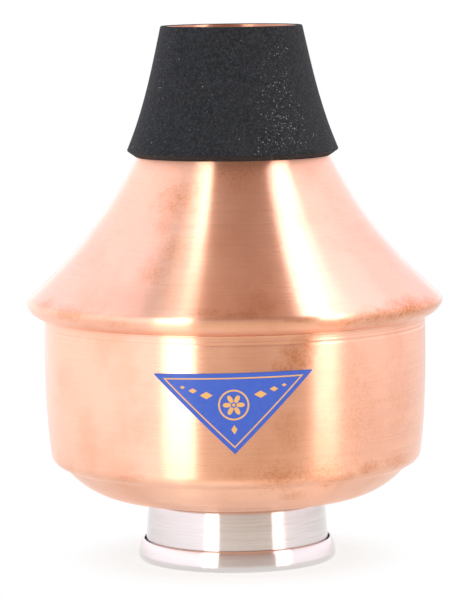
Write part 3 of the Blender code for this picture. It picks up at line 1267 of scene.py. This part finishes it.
    def lower_spots(self) -> tuple[Spot, ...]:
        """List the tarnish spots of the wall and the bottom.

        Returns:
            The spots.
        """
        wall = self.shape.wall_radius / MM
        return (
            Spot(18.8, wall, 53.0, 6.0, 0.66, 1.0),
            Spot(21.8, wall, 56.0, 5.0, 0.56, 0.9),
            Spot(14.5, wall, 50.8, 5.5, 0.50, 1.1),
            Spot(16.0, wall, 36.0, 7.5, 0.35, 0.8),
            Spot(8.0, wall, 30.0, 6.0, 0.30, 1.2),
            Spot(36.0, wall, 47.0, 8.0, 0.30, 0.5),
            Spot(39.0, wall, 38.5, 14.0, 0.32, 0.6),
            Spot(58.0, wall, 41.0, 12.0, 0.26, 0.7),
            Spot(44.0, 44.5, 26.0, 7.0, 0.60, 2.5),
            Spot(33.0, 44.0, 24.0, 12.0, 0.56, 3.0),
            Spot(14.0, 44.3, 25.6, 13.0, 0.56, 2.0),
            Spot(27.0, 44.6, 26.2, 12.0, 0.52, 2.2),
            Spot(2.0, 44.6, 27.0, 8.0, 0.32, 2.0),
            Spot(58.0, 44.8, 26.5, 10.0, 0.45, 3.0),
            Spot(-35.0, 44.5, 25.0, 8.0, 0.40, 3.0),
            Spot(20.0, 39.0, 20.5, 6.0, 0.45, 2.0),
            Spot(30.0, 38.0, 19.5, 17.0, 0.20, 1.0),
            Spot(4.0, 38.0, 19.0, 15.0, 0.12, 1.0),
        )


@dataclass
class NeckCollar:
    """The tapered collar that seals in the bell.

    Attributes:
        shape: Shape of the body that carries it.
        foot_rise: How far its foot lies above the throat.
        rim_round: Rounding of its edges.
    """

    shape: BodyShape
    top_radius: float = 16.95 * MM
    top_slope: float = 0.22
    foot_radius: float = 25.4 * MM
    foot_slope: float = 0.43
    foot_rise: float = 1.4 * MM
    rim_round: float = 0.4 * MM

    def build(self) -> None:
        """Build and dress the collar."""
        shape = self.shape
        top = (self.top_radius, shape.neck_top[1])
        foot = (self.foot_radius, shape.throat[1] + self.foot_rise)
        outer = flare(top, foot, self.top_slope, self.foot_slope, 30)
        inner = [(radius + shape.fit_gap, height) for radius, height in reversed(shape.neck_curve(24))]
        points = fillet(inner[-1], top, outer[1], self.rim_round, 4) + outer[1:-1]
        points += fillet(outer[-2], foot, inner[0], self.rim_round, 4)
        points += inner[:-1]
        piece = turn("collar_foam", Outline(tuple(points)))
        dress(piece, Body.MUTE, ["neck_collar"], [GrainedRubber().build()])


@dataclass
class StemSocket:
    """The ferrule in the bottom and the cork that lines it.

    Attributes:
        shape: Shape of the body that carries them.
        sheet: Thickness of the ferrule's sheet.
        flange: Width of its flange.
        margin: How far it reaches above the cork.
        edge: Rounding of all edges.
        copper: Colour of the ferrule.
        tarnish: Colour that its tarnish tends to.
    """

    shape: BodyShape
    cork_inner: float = 8.8 * MM
    cork_wall: float = 1.8 * MM
    cork_length: float = 12.0 * MM
    sheet: float = 0.5 * MM
    flange: float = 3.6 * MM
    margin: float = 0.5 * MM
    edge: float = 0.15 * MM
    copper: Colour = (0.80, 0.42, 0.28)
    tarnish: Colour = (0.40, 0.17, 0.09)

    def build(self) -> None:
        """Build and dress the ferrule and the cork."""
        gap = self.shape.fit_gap
        socket_z = self.shape.dome_z + self.shape.copper + gap
        cork_z = socket_z + self.sheet + gap
        cork_top = cork_z + self.cork_length
        cork_outer = self.cork_inner + self.cork_wall
        bore = cork_outer + gap
        top = cork_top + self.margin
        outside = bore + self.sheet
        base_top = socket_z + self.sheet
        corners = [
            (outside, top),
            (outside, base_top),
            (outside + self.flange, base_top),
            (outside + self.flange, socket_z),
            (self.shape.hole_radius, socket_z),
            (self.shape.hole_radius, base_top),
            (bore, base_top),
            (bore, top),
        ]
        ferrule = turn("socket_ferrule", self.eased(corners))
        copper = BrushedMetal("copper_ferrule", self.copper, self.tarnish, roughness=0.42).build()
        dress(ferrule, Body.MUTE, ["stem_socket"], [copper])
        corners = [(cork_outer, cork_top), (cork_outer, cork_z)]
        corners += [(self.cork_inner, cork_z), (self.cork_inner, cork_top)]
        cork = turn("socket_cork_sleeve", self.eased(corners))
        dress(cork, Body.MUTE, ["socket_cork"], [SandedCork().build()])

    def eased(self, corners: Sequence[Point]) -> Outline:
        """Round every corner of an outline.

        Args:
            corners: The sharp corners.

        Returns:
            The outline.
        """
        points: list[Point] = []
        for index, corner in enumerate(corners):
            points += fillet(corners[index - 1], corner, corners[(index + 1) % len(corners)], self.edge, 3)
        return Outline(tuple(points))


@dataclass
class SlidingStem:
    """The aluminium tube with the cup on its end.

    Attributes:
        flare_width: How far the tube's foot is flared outward under the cup's floor.
        flare_round: Rounding of the flare.
        straight_end: How far above the flare the tube is straight.
        cup_flare: Radius that the cup gains per unit of descent.
        shoulder_round: Rounding between the cup's floor and wall.
        foot_run: Height of the last stretch of the cup's wall.
        hem_height: Height of the edge of the rolled mouth.
        hem_wide_height: Height at which it is widest.
        hem_foot_inset: How far its foot is set in from there.
        hem_gap: Gap between its edge and the cup's wall.
        hem_top_slope: Radius that it gains per unit of descent at its edge.
        hem_low_slope: The same where it is widest.
        hem_inner_round: Rounding inside the hem, at the foot of the wall.
        hem_lead: How far inside that foot, and how high, the run into this rounding starts.
        fit_gap: Gap between the tube and the cup.
        metal: Clean colour of the aluminium.
        dull: Colour that its tarnish tends to.
    """

    tube_radius: float = 8.5 * MM
    tube_sheet: float = 0.5 * MM
    flare_width: float = 1.8 * MM
    flare_round: float = 0.4 * MM
    straight_end: float = 1.0 * MM
    cup_sheet: float = 0.5 * MM
    cup_top_radius: float = 21.2 * MM
    cup_flare: float = 0.08
    shoulder_round: float = 1.5 * MM
    foot_run: float = 1.0 * MM
    hem_height: float = 4.8 * MM
    hem_wide_height: float = 1.35 * MM
    hem_foot_inset: float = 0.85 * MM
    hem_gap: float = 0.3 * MM
    hem_top_slope: float = 0.62
    hem_low_slope: float = 0.22
    hem_inner_round: float = 0.12 * MM
    hem_lead: Point = (0.1 * MM, 3.0 * MM)
    fit_gap: float = 0.3 * MM
    metal: Colour = (0.70, 0.655, 0.64)
    dull: Colour = (0.42, 0.38, 0.36)

    def build(self) -> None:
        """Build and dress the tube and the cup."""
        outside = BrushedMetal(
            "aluminium_turned", self.metal, self.dull, tarnish_share=0.3, tarnish_depth=0.12, roughness=0.18,
            line_pitch=3600.0, line_depth=0.0012 * MM, ripple_depth=0.004 * MM,
        ).build()
        inside = BrushedMetal(
            "aluminium_inside", self.metal, self.dull, tarnish_share=0.5, tarnish_depth=0.3, roughness=0.42,
        ).build()
        dress(self.tube(), Body.STEM, ["stem_tube"], [outside, inside])
        dress(self.cup(), Body.STEM, ["stem_cup"], [outside, inside])

    def tube(self) -> Piece:
        """Build the tube, flared under the floor of the cup.

        Returns:
            The piece.
        """
        top = (self.tube_radius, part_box("stem_tube")[1].z)
        flare_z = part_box("stem_cup")[1].z - self.cup_sheet - self.fit_gap
        corner = (self.tube_radius, flare_z)
        end = (self.tube_radius + self.flare_width, flare_z)
        path = [top, *runs(top, (self.tube_radius, flare_z + self.straight_end), 24)]
        path += [*fillet(top, corner, end, self.flare_round, 4), end]
        return turn("stem_tube_drawn", sheet(path, self.tube_sheet), TUBE_SEGMENTS)

    def cup(self) -> Piece:
        """Build the cup, whose mouth is rolled outward and up into a hem.

        Returns:
            The piece, with the hem in its first material like the rest of its outside.
        """
        top_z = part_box("stem_cup")[1].z
        rim_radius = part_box("stem_cup")[1].x
        start = (self.tube_radius + self.fit_gap, top_z)
        shoulder = (self.cup_top_radius, top_z)
        wall_foot = (self.cup_top_radius + (top_z - self.cup_sheet) * self.cup_flare, self.cup_sheet)
        path = [start, *runs(start, (self.cup_top_radius - 2 * self.shoulder_round, top_z), 6)]
        path += fillet(start, shoulder, wall_foot, self.shoulder_round, 8)
        near_foot = (wall_foot[0] - self.foot_run * self.cup_flare, wall_foot[1] + self.foot_run)
        path += runs(path[-1], near_foot, 10)
        hem = self.hem(wall_foot, rim_radius - self.cup_sheet, top_z)
        outline = sheet(path + hem, self.cup_sheet)
        return turn("stem_cup_spun", replace(outline, inner_from=outline.inner_from + len(hem)))

    def hem(self, wall_foot: Point, reach: float, top_z: float) -> list[Point]:
        """Work out the groove side of the hem.

        Args:
            wall_foot: Foot of the cup's wall.
            reach: Largest radius of the hem's groove side.
            top_z: Height of the cup's floor.

        Returns:
            The points from the foot of the wall, out and up to the edge of the hem.
        """
        wall_at_top = self.cup_top_radius + (top_z - self.hem_height) * self.cup_flare
        edge = (wall_at_top + self.hem_gap, self.hem_height)
        wide = (reach, self.hem_wide_height)
        slant = flare(edge, wide, self.hem_top_slope, self.hem_low_slope, 8)
        above = (wall_foot[0] - self.hem_lead[0], self.hem_lead[1])
        points = fillet(above, wall_foot, (reach, self.cup_sheet), self.hem_inner_round, 3)
        foot = (reach - self.hem_foot_inset + self.cup_sheet, self.cup_sheet)
        points.append(foot)
        run, rise = wide[0] - foot[0], wide[1] - foot[1]
        quarter = [math.pi / 2 * step / 6 for step in range(1, 7)]
        points += [(foot[0] + run * math.sin(a), foot[1] + rise * (1 - math.cos(a))) for a in quarter]
        return points + slant[-2::-1]


@dataclass
class FrontLabel:
    """The triangular foil label on the wall.

    Attributes:
        shape: Shape of the body that carries it.
        half_width: Half of the upper edge.
        height: From the upper edge to the tip.
        drop: How far the upper edge lies under the lip's edge.
        tilt: How far the right end is turned up, in radians.
        back_gap: Gap between the wall and the back.
        face_gap: Gap between the wall and the face.
        corner_round: Rounding of the corners.
        edge_round: Height of the chamfer round the face.
        inset: Size of the face inside that chamfer, as a share of the whole.
        ring_span: Share of the label that the rings of the face take up.
        loops: How many rings of faces lie between the rim and the middle.
        side_steps: How many runs each side is cut into.
        sharp_angle: Least angle at which an edge is shaded sharp.
    """

    shape: BodyShape
    half_width: float = 18.75 * MM
    height: float = 18.75 * MM
    drop: float = 8.6 * MM
    tilt: float = math.radians(0.9)
    back_gap: float = 0.04 * MM
    face_gap: float = 0.26 * MM
    corner_round: float = 0.15 * MM
    edge_round: float = 0.05 * MM
    inset: float = 0.996
    ring_span: float = 0.98
    loops: int = 14
    side_steps: int = 36
    sharp_angle: float = math.radians(40.0)

    @property
    def top(self) -> float:
        """Height of the upper edge."""
        return self.shape.lip_edge[1] - self.drop

    def build(self) -> None:
        """Build and dress the label."""
        face = [(1.0, self.back_gap), (1.0, self.face_gap - self.edge_round), (self.inset, self.face_gap)]
        shrink = self.ring_span / self.loops
        face += [(self.inset - shrink * step, self.face_gap) for step in range(1, self.loops + 1)]
        back = [(1.0 - step / self.loops, self.back_gap) for step in range(1, self.loops)]
        shape = bmesh.new()
        rim = self.rim()
        rings = [self.ring(shape, rim, share, gap) for share, gap in face + back]
        face_rings, back_rings = rings[:len(face)], [rings[0], *rings[len(face):]]
        self.join(shape, face_rings, False)
        self.join(shape, back_rings, True)
        shape.faces.new(face_rings[-1])
        shape.faces.new(back_rings[-1][::-1])
        bmesh.ops.recalc_face_normals(shape, faces=shape.faces)
        piece = new_object("label_foil", shape)
        piece.data.set_sharp_from_angle(angle=self.sharp_angle)
        foil = PrintedFoil(self.half_width, self.height, self.top, self.shape.wall_radius, self.tilt)
        dress(piece, Body.MUTE, ["label"], [foil.build()])

    def ring(self, shape: Mesh, rim: list[Point], share: float, gap: float) -> Ring:
        """Lay a ring of vertices on the wall.

        Args:
            shape: The shape that gets them.
            rim: The flat outline of the label.
            share: Size of the ring, as a share of the outline.
            gap: How far clear of the wall it lies.

        Returns:
            The vertices.
        """
        middle = (0.0, -self.height / 3)
        spread = [(middle[0] + (u - middle[0]) * share, middle[1] + (v - middle[1]) * share) for u, v in rim]
        return [shape.verts.new(self.on_wall(u, v, gap)) for u, v in spread]

    @staticmethod
    def join(shape: Mesh, rings: list[Ring], flip: bool) -> None:
        """Lay faces between each ring and the next.

        Args:
            shape: The shape that gets them.
            rings: The rings, from the rim inward.
            flip: Whether the faces look the other way.
        """
        for outer, inner in zip(rings, rings[1:]):
            for index in range(len(outer)):
                after = (index + 1) % len(outer)
                corners = [outer[index], outer[after], inner[after], inner[index]]
                shape.faces.new(corners[::-1] if flip else corners)

    def rim(self) -> list[Point]:
        """Work out the flat outline.

        Returns:
            Its points, each as right and up from the middle of the upper edge.
        """
        corners = [(self.half_width, 0.0), (-self.half_width, 0.0), (0.0, -self.height)]
        points: list[Point] = []
        for index, corner in enumerate(corners):
            after = corners[(index + 1) % 3]
            points += fillet(corners[index - 1], corner, after, self.corner_round, 5)
            points += runs(corner, after, self.side_steps)[1:-2]
        return points

    def on_wall(self, right: float, up: float, gap: float) -> tuple[float, float, float]:
        """Wrap a place on the flat label round the wall.

        Args:
            right: Way to the right of the middle of the upper edge.
            up: Way up from it.
            gap: How far clear of the wall the place lies.

        Returns:
            The place.
        """
        cos, sin = math.cos(self.tilt), math.sin(self.tilt)
        right, up = right * cos - up * sin, right * sin + up * cos
        height, (high, low) = self.top + up, (self.shape.lip_edge[1], self.shape.wall_foot[1])
        radius = self.shape.wall_point(min(max((high - height) / (high - low), 0.0), 1.0))[0] + gap
        angle = right / self.shape.wall_radius
        return (radius * math.sin(angle), -radius * math.cos(angle), height)


def mirrored(facing: float, rise: float) -> Vector:
    """Work out what a turned surface shows to someone straight ahead of the label.

    Args:
        facing: Azimuth that the surface faces, in degrees.
        rise: How far the mirrored direction is tilted up, in degrees. 0 is level and 90 overhead.

    Returns:
        The direction, as a unit vector.
    """
    side, tilt = math.radians(facing), math.radians(rise)
    round_axis = Vector((math.cos(side), math.sin(side), 0.0))
    outward = Vector((math.sin(side), -math.cos(side), 0.0))
    tilted = outward * math.cos(tilt) + Vector((0.0, 0.0, math.sin(tilt)))
    return round_axis * math.sin(side) + tilted * math.cos(side)


class Row:
    """One level of a card.

    Attributes:
        ends: How far up it is mirrored and the facings at which it starts and ends, in degrees.
        lights: Light that it gives off, at even steps from its start to its end.
    """

    def __init__(self, rise: float, first: float, last: float, *lights: Colour) -> None:
        """Keep the row's place and its lights."""
        self.ends = (rise, first, last)
        self.lights = lights

    def light(self, share: float) -> Colour:
        """Work out the light at a place of the row.

        Args:
            share: How far along the row the place is.

        Returns:
            The light.
        """
        place = share * (len(self.lights) - 1)
        index = min(int(place), len(self.lights) - 2)
        if index < 0:
            return self.lights[0]
        return mix(self.lights[index], self.lights[index + 1], place - index)


def hazed(base: Colour, left: float, right: float) -> tuple[Colour, ...]:
    """Return the lights of a row that grows lighter by left and by right toward its two ends."""
    shares = (left, left * 0.5 + right * 0.05, left * 0.12 + right * 0.1, right * 0.4, right)
    return tuple((base[0] + share, base[1] + share, base[2] + share) for share in shares)


@dataclass(frozen=True)
class Card:
    """A glowing card that stands round the object and leans over it.

    Attributes:
        name: Name of the card.
        use: What it is for.
        rows: Its levels, from the lowest to the highest.
        distance: Distance from the middle of the object.
        columns: How many faces wide it is.
        steps: How many faces tall it is between two of its rows.
        middle_height: Height of the middle of the object.
        floor_gap: How far above the floor it stops.
    """

    name: str
    use: Use
    rows: tuple[Row, ...]
    distance: float = 1.1
    columns: int = 8
    steps: int = 4
    middle_height: float = 60.0 * MM
    floor_gap: float = 1.0 * MM

    def build(self) -> None:
        """Build the card."""
        shape = bmesh.new()
        glow = shape.verts.layers.float_color.new("glow")
        shares = [step / self.steps for step in range(self.steps)]
        levels = [(low, high, share) for low, high in zip(self.rows, self.rows[1:]) for share in shares]
        levels.append((self.rows[-2], self.rows[-1], 1.0))
        grid = []
        for low, high, share in levels:
            rise, first, last = mix(low.ends, high.ends, share)
            grid.append([])
            for column in range(self.columns + 1):
                across = column / self.columns
                vert = shape.verts.new(self.place(first + (last - first) * across, rise))
                vert[glow] = (*mix(low.light(across), high.light(across), share), 1.0)
                grid[-1].append(vert)
        for lower, upper in zip(grid, grid[1:]):
            for step in range(self.columns):
                shape.faces.new((lower[step], upper[step], upper[step + 1], lower[step + 1]))
        piece = new_object(self.name, shape)
        piece.data.materials.append(self.material())
        for hidden in ("camera", "transmission", "volume_scatter", "shadow"):
            setattr(piece, "visible_" + hidden, False)
        piece.visible_glossy = self.use is Use.MIRROR
        piece.visible_diffuse = self.use is Use.LIGHT

    def place(self, facing: float, rise: float) -> Vector:
        """Work out the place of the card that is mirrored somewhere.

        Args:
            facing: Azimuth that the surface faces, in degrees.
            rise: How far the mirrored direction is tilted up, in degrees.

        Returns:
            The place, which is on the floor where the card would go below it.
        """
        middle, toward = Vector((0.0, 0.0, self.middle_height)), mirrored(facing, rise)
        room = (middle.z - self.floor_gap) / max(-toward.z, 1e-6)
        return middle + toward * min(self.distance, room)

    def material(self) -> Finish:
        """Make a material that gives off the light kept in the mesh.

        Returns:
            The material.
        """
        material, wiring = bare_material(self.name)
        light = wiring.add("Attribute", attribute_name="glow").outputs["Color"]
        wiring.add("OutputMaterial", {0: wiring.add("Emission", {"Color": light}).outputs[0]})
        return material


def bare_material(name: str) -> tuple[Finish, Wiring]:
    """Make a material that has no nodes yet.

    Args:
        name: Its name.

    Returns:
        The material and its wiring.
    """
    material = bpy.data.materials.new(name)
    material.use_nodes = True
    material.node_tree.nodes.clear()
    return material, Wiring(material.node_tree)


@dataclass
class Studio:
    """Floor, lights and camera.

    Attributes:
        floor_radius: Radius of the floor.
        floor_sides: How many sides it has.
        floor_colour: Its colour.
        clear_from: Distance from the axis at which the camera starts to see through the floor, and
            at which it sees through it fully.
        clear_shares: How far it sees through the floor at those distances.
        world_light: The world's strength as a light.
        camera_distance: Distance of the camera from the axis.
        camera_height: Its height.
        camera_angles: Its azimuth, and how far it looks down, to the left of the axis, and is
            turned clockwise, in degrees.
        lens: Its focal length in millimetres.
        sensor: Width of its sensor in millimetres.
        nearest: Nearest distance at which it sees.
    """

    floor_radius: float = 2.4
    floor_sides: int = 96
    floor_colour: Colour = (0.94, 0.90, 0.87)
    clear_from: Point = (26.0 * MM, 44.0 * MM)
    clear_shares: Point = (0.78, 1.0)
    world_light: float = 0.7
    camera_distance: float = 829.5 * MM
    camera_height: float = 148.84 * MM
    camera_angles: tuple[float, float, float, float] = (0.69, 5.951, 0.099, 0.68)
    lens: float = 207.8
    sensor: float = 36.0
    nearest: float = 10.0 * MM

    def build(self) -> None:
        """Build all of the studio."""
        self.world()
        self.floor()
        cards = self.cards()
        for card in cards:
            card.build()
        self.camera()
        log.info("studio: %d cards", len(cards))

    def cards(self) -> tuple[Card, ...]:
        """List the cards round the object.

        Returns:
            The cards.
        """
        left, right = (4.4, 4.2, 4.0), (4.8, 4.05, 4.1)
        over_left, over_right = (3.3, 3.2, 3.35), (3.6, 3.5, 3.7)
        rose, gap = (0.80, 0.72, 0.76), (0.62, 0.70, 0.78)
        lamp_left, lamp_right, lamp_side = (3.4, 3.25, 3.0), (3.2, 3.05, 2.6), (1.3, 1.3, 1.3)
        return (
            Card("softbox_left", Use.MIRROR, (
                Row(-50.0, -20.5, -11.0, (1.15, 1.1, 1.05)),
                Row(-35.0, -19.5, -9.5, (1.6, 1.5, 1.4)),
                Row(-25.0, -18.0, -8.4, (2.8, 2.5, 2.2)),
                Row(-20.0, -19.3, -10.5, (2.85, 2.6, 2.3)),
                Row(-2.5, -19.6, -11.2, left),
                Row(30.0, -21.4, -11.2, left),
                Row(44.0, -18.5, -10.6, over_left),
                Row(50.0, -15.9, -10.0, over_left),
                Row(60.0, -15.2, -11.4, over_left),
                Row(77.0, -15.0, -10.5, (1.9, 1.75, 1.6)),
                Row(90.0, -15.6, -10.1, (0.95, 0.82, 0.70)),
                Row(110.0, -15.6, -10.1, (0.85, 0.72, 0.60)),
            )),
            Card("softbox_right", Use.MIRROR, (
                Row(-50.0, 22.0, 29.5, (1.1, 1.0, 0.9)),
                Row(-35.0, 22.0, 29.5, (1.2, 1.05, 0.9)),
                Row(-20.0, 23.0, 29.0, (1.22, 1.02, 0.88)),
                Row(-12.0, 23.2, 28.8, (1.5, 1.2, 1.08)),
                Row(-7.0, 23.5, 28.6, (2.3, 1.85, 1.72)),
                Row(-2.5, 22.5, 30.0, (3.1, 2.6, 2.35)),
                Row(12.0, 23.5, 32.0, right),
                Row(30.0, 24.0, 34.0, right),
                Row(46.0, 21.5, 32.8, over_right),
                Row(60.0, 18.6, 29.5, over_right),
                Row(70.0, 17.3, 26.2, over_right),
                Row(77.0, 18.8, 27.0, over_right),
                Row(90.0, 18.5, 27.8, over_right),
                Row(115.0, 18.5, 27.8, over_right),
            )),
            Card("side_left", Use.MIRROR, (
                Row(-50.0, -86.0, -20.5, (1.1, 1.0, 1.0)),
                Row(-20.0, -86.0, -19.3, (1.4, 1.42, 1.50), (1.34, 1.29, 1.34), (1.42, 1.40, 1.48)),
                Row(-2.5, -86.0, -19.6, (1.15, 0.96, 1.00), (1.46, 1.34, 1.44), (1.58, 1.53, 1.68)),
                Row(30.0, -86.0, -21.4, (1.6, 1.6, 1.62), (1.68, 1.66, 1.70)),
                Row(50.0, -86.0, -16.3, (1.15, 1.05, 1.15), (1.40, 1.26, 1.44), (1.38, 1.15, 1.34)),
                Row(70.0, -86.0, -15.6, (1.1, 0.95, 1.05), (1.30, 1.00, 1.10), (1.36, 1.15, 1.34)),
                Row(83.0, -86.0, -15.5, (1.14, 1.12, 1.3), (1.48, 1.62, 2.05), (1.42, 1.25, 1.46)),
                Row(110.0, -86.0, -15.6, (1.14, 1.12, 1.3), (1.48, 1.66, 2.10), (1.40, 1.22, 1.42)),
            )),
            Card("gap_left", Use.MIRROR, (
                Row(38.0, -28.0, -19.8, (1.6, 1.5, 1.65)),
                Row(50.0, -34.0, -17.0, rose),
                Row(60.0, -32.0, -16.0, rose),
                Row(68.0, -28.0, -15.8, (0.88, 0.86, 0.88)),
                Row(77.0, -27.5, -15.6, gap),
                Row(110.0, -26.0, -15.8, gap),
            ), 1.05),
            Card("glow_right", Use.MIRROR, (
                Row(-2.5, 30.0, 50.0, (1.45, 1.30, 1.36)),
                Row(12.0, 32.0, 52.0, (1.48, 1.44, 1.54)),
                Row(30.0, 34.0, 54.0, (1.50, 1.50, 1.58)),
                Row(46.0, 32.8, 54.0, (1.4, 1.18, 1.28), (1.32, 1.06, 1.20)),
                Row(58.0, 30.0, 52.0, (1.62, 1.50, 1.62), (1.38, 1.16, 1.36)),
                Row(70.0, 26.2, 48.0, (1.68, 1.66, 1.90), (1.42, 1.20, 1.40)),
                Row(83.0, 27.4, 50.0, (1.70, 1.76, 2.10), (1.50, 1.66, 2.05)),
                Row(115.0, 27.8, 50.0, (1.70, 1.76, 2.10), (1.50, 1.66, 2.05)),
            ), 1.05),
            Card("side_right", Use.MIRROR, (
                Row(-50.0, 29.5, 86.0, (0.96, 0.93, 0.91)),
                Row(-20.0, 29.0, 86.0, (0.97, 0.91, 0.90), (0.78, 0.73, 0.71)),
                Row(-11.0, 28.7, 86.0, (0.99, 0.93, 0.93), (0.85, 0.80, 0.78)),
                Row(-6.0, 28.6, 86.0, (1.30, 1.14, 1.20), (1.10, 0.95, 0.98)),
                Row(-2.5, 30.0, 86.0, (1.45, 1.30, 1.36)),
                Row(12.0, 32.0, 86.0, (1.48, 1.44, 1.54)),
                Row(30.0, 34.0, 86.0, (1.50, 1.50, 1.58)),
                Row(46.0, 32.8, 86.0, (1.35, 1.10, 1.22), (1.3, 1.08, 1.2), (1.1, 0.95, 1.05)),
                Row(70.0, 28.5, 86.0, (1.45, 1.30, 1.50), (1.42, 1.22, 1.42), (1.1, 1.0, 1.1)),
                Row(83.0, 28.5, 86.0, (1.46, 1.36, 1.60), (1.44, 1.28, 1.50), (1.1, 1.0, 1.1)),
                Row(115.0, 28.5, 86.0, (1.46, 1.36, 1.60), (1.44, 1.28, 1.50), (1.1, 1.0, 1.1)),
            )),
            Card("front_card", Use.MIRROR, (
                Row(-50.0, -11.0, 22.0, (2.1, 2.0, 1.95)),
                Row(-42.0, -10.0, 22.0, (0.98, 0.84, 0.68)),
                Row(-35.0, -9.5, 22.0, (0.87, 0.70, 0.52)),
                Row(-20.0, -10.5, 23.0, *hazed((0.83, 0.68, 0.53), 0.20, 0.06)),
                Row(-8.0, -11.0, 23.4, *hazed((0.75, 0.69, 0.66), 0.12, 0.05)),
                Row(-2.5, -11.2, 22.5, *hazed((0.71, 0.62, 0.57), 0.20, 0.05)),
                Row(12.0, -11.2, 23.5, *hazed((0.70, 0.60, 0.55), 0.15, 0.05)),
                Row(30.0, -11.2, 24.0, *hazed((0.68, 0.56, 0.49), 0.10, 0.05)),
                Row(38.0, -10.8, 22.5, (0.30, 0.14, 0.10)),
                Row(44.0, -10.6, 21.6, (0.12, 0.0, 0.0)),
                Row(52.0, -10.6, 20.4, (0.16, 0.03, 0.02)),
                Row(60.0, -12.0, 18.6, *hazed((0.44, 0.34, 0.27), 0.30, 0.15)),
                Row(73.0, -11.1, 18.6, *hazed((0.61, 0.62, 0.65), 0.40, 0.26)),
                Row(83.0, -10.5, 18.5, *hazed((0.60, 0.38, 0.25), 0.34, 0.24)),
                Row(90.0, -10.1, 18.5, *hazed((0.60, 0.28, 0.15), 0.24, 0.24)),
                Row(115.0, -10.1, 18.5, *hazed((0.54, 0.22, 0.12), 0.12, 0.12)),
            ), columns=16),
            Card("lamp_left", Use.LIGHT, (
                Row(-2.5, -22.6, -11.2, lamp_left),
                Row(55.0, -22.6, -11.2, lamp_left),
            )),
            Card("lamp_right", Use.LIGHT, (
                Row(-2.5, 22.5, 34.0, lamp_right),
                Row(55.0, 22.5, 34.0, lamp_right),
            )),
            Card("lamp_side_left", Use.LIGHT, (
                Row(-2.5, -75.0, -23.0, lamp_side),
                Row(50.0, -75.0, -23.0, lamp_side),
            )),
            Card("lamp_side_right", Use.LIGHT, (
                Row(-2.5, 34.5, 75.0, (1.1, 1.05, 1.0)),
                Row(50.0, 34.5, 75.0, lamp_side),
            )),
        )

    def world(self) -> None:
        """Make a world that is white where it is seen or mirrored, and dimmer as a light."""
        world = bpy.data.worlds.new("studio_world")
        world.use_nodes = True
        bpy.context.scene.world = world
        wiring = Wiring(world.node_tree)
        rays = wiring.add("LightPath").outputs
        seen = wiring.math("MAXIMUM", rays["Is Camera Ray"], rays["Is Glossy Ray"])
        seen = wiring.math("MAXIMUM", seen, rays["Is Transmission Ray"])
        strength = wiring.span(seen, 0.0, 1.0, (self.world_light, 1.0))
        wiring.feed(world.node_tree.nodes["Background"], {"Color": WHITE, "Strength": strength})

    def floor(self) -> None:
        """Build a floor that shows the object's shadow, and is clear to the camera elsewhere."""
        shape = bmesh.new()
        bmesh.ops.create_circle(shape, cap_ends=True, radius=self.floor_radius, segments=self.floor_sides)
        piece = new_object("studio_floor", shape)
        material, wiring = bare_material("studio_floor")
        rays = wiring.add("LightPath").outputs
        bounced = wiring.math("MAXIMUM", rays["Is Glossy Ray"], rays["Is Transmission Ray"])
        matt = wiring.add("BsdfDiffuse", {"Color": (*self.floor_colour, 1.0)})
        white = wiring.add("Emission", {"Color": WHITE})
        solid = wiring.add("MixShader", {0: bounced, 1: matt.outputs[0], 2: white.outputs[0]})
        away = wiring.span(wiring.length(wiring.here()), *self.clear_from, self.clear_shares)
        open_share = wiring.math("MULTIPLY", rays["Is Camera Ray"], away)
        open_share = wiring.math("MAXIMUM", open_share, wiring.add("NewGeometry").outputs["Backfacing"])
        clear = wiring.add("BsdfTransparent")
        mixed = wiring.add("MixShader", {0: open_share, 1: solid.outputs[0], 2: clear.outputs[0]})
        wiring.add("OutputMaterial", {0: mixed.outputs[0]})
        piece.data.materials.append(material)

    def camera(self) -> None:
        """Set up the camera where the photograph was taken from."""
        data = bpy.data.cameras.new("camera")
        data.lens, data.sensor_width, data.clip_start = self.lens, self.sensor, self.nearest
        camera = bpy.data.objects.new("camera", data)
        bpy.context.scene.collection.objects.link(camera)
        azimuth, pitch, yaw, roll = map(math.radians, self.camera_angles)
        out = self.camera_distance
        place = Vector((out * math.sin(azimuth), -out * math.cos(azimuth), self.camera_height))
        facing = math.pi / 2 + azimuth + yaw
        level = Vector((math.cos(facing), math.sin(facing), 0.0))
        ahead = level * math.cos(pitch) - Vector((0.0, 0.0, math.sin(pitch)))
        right = ahead.cross(Vector((0.0, 0.0, 1.0))).normalized()
        up = right.cross(ahead)
        rolled_up = up * math.cos(roll) + right * math.sin(roll)
        rolled_right = right * math.cos(roll) - up * math.sin(roll)
        turned = Matrix((rolled_right, rolled_up, -ahead)).transposed()
        camera.matrix_world = Matrix.Translation(place) @ turned.to_4x4()
        bpy.context.scene.camera = camera


def main() -> None:
    """Build the mute and its studio."""
    logging.basicConfig(level=logging.INFO, format="%(message)s")
    bpy.context.scene.view_settings.view_transform = "Standard"
    shape = BodyShape()
    CopperBody(shape).build()
    NeckCollar(shape).build()
    StemSocket(shape).build()
    SlidingStem().build()
    FrontLabel(shape).build()
    Studio().build()


if __name__ == "__main__":
    main()
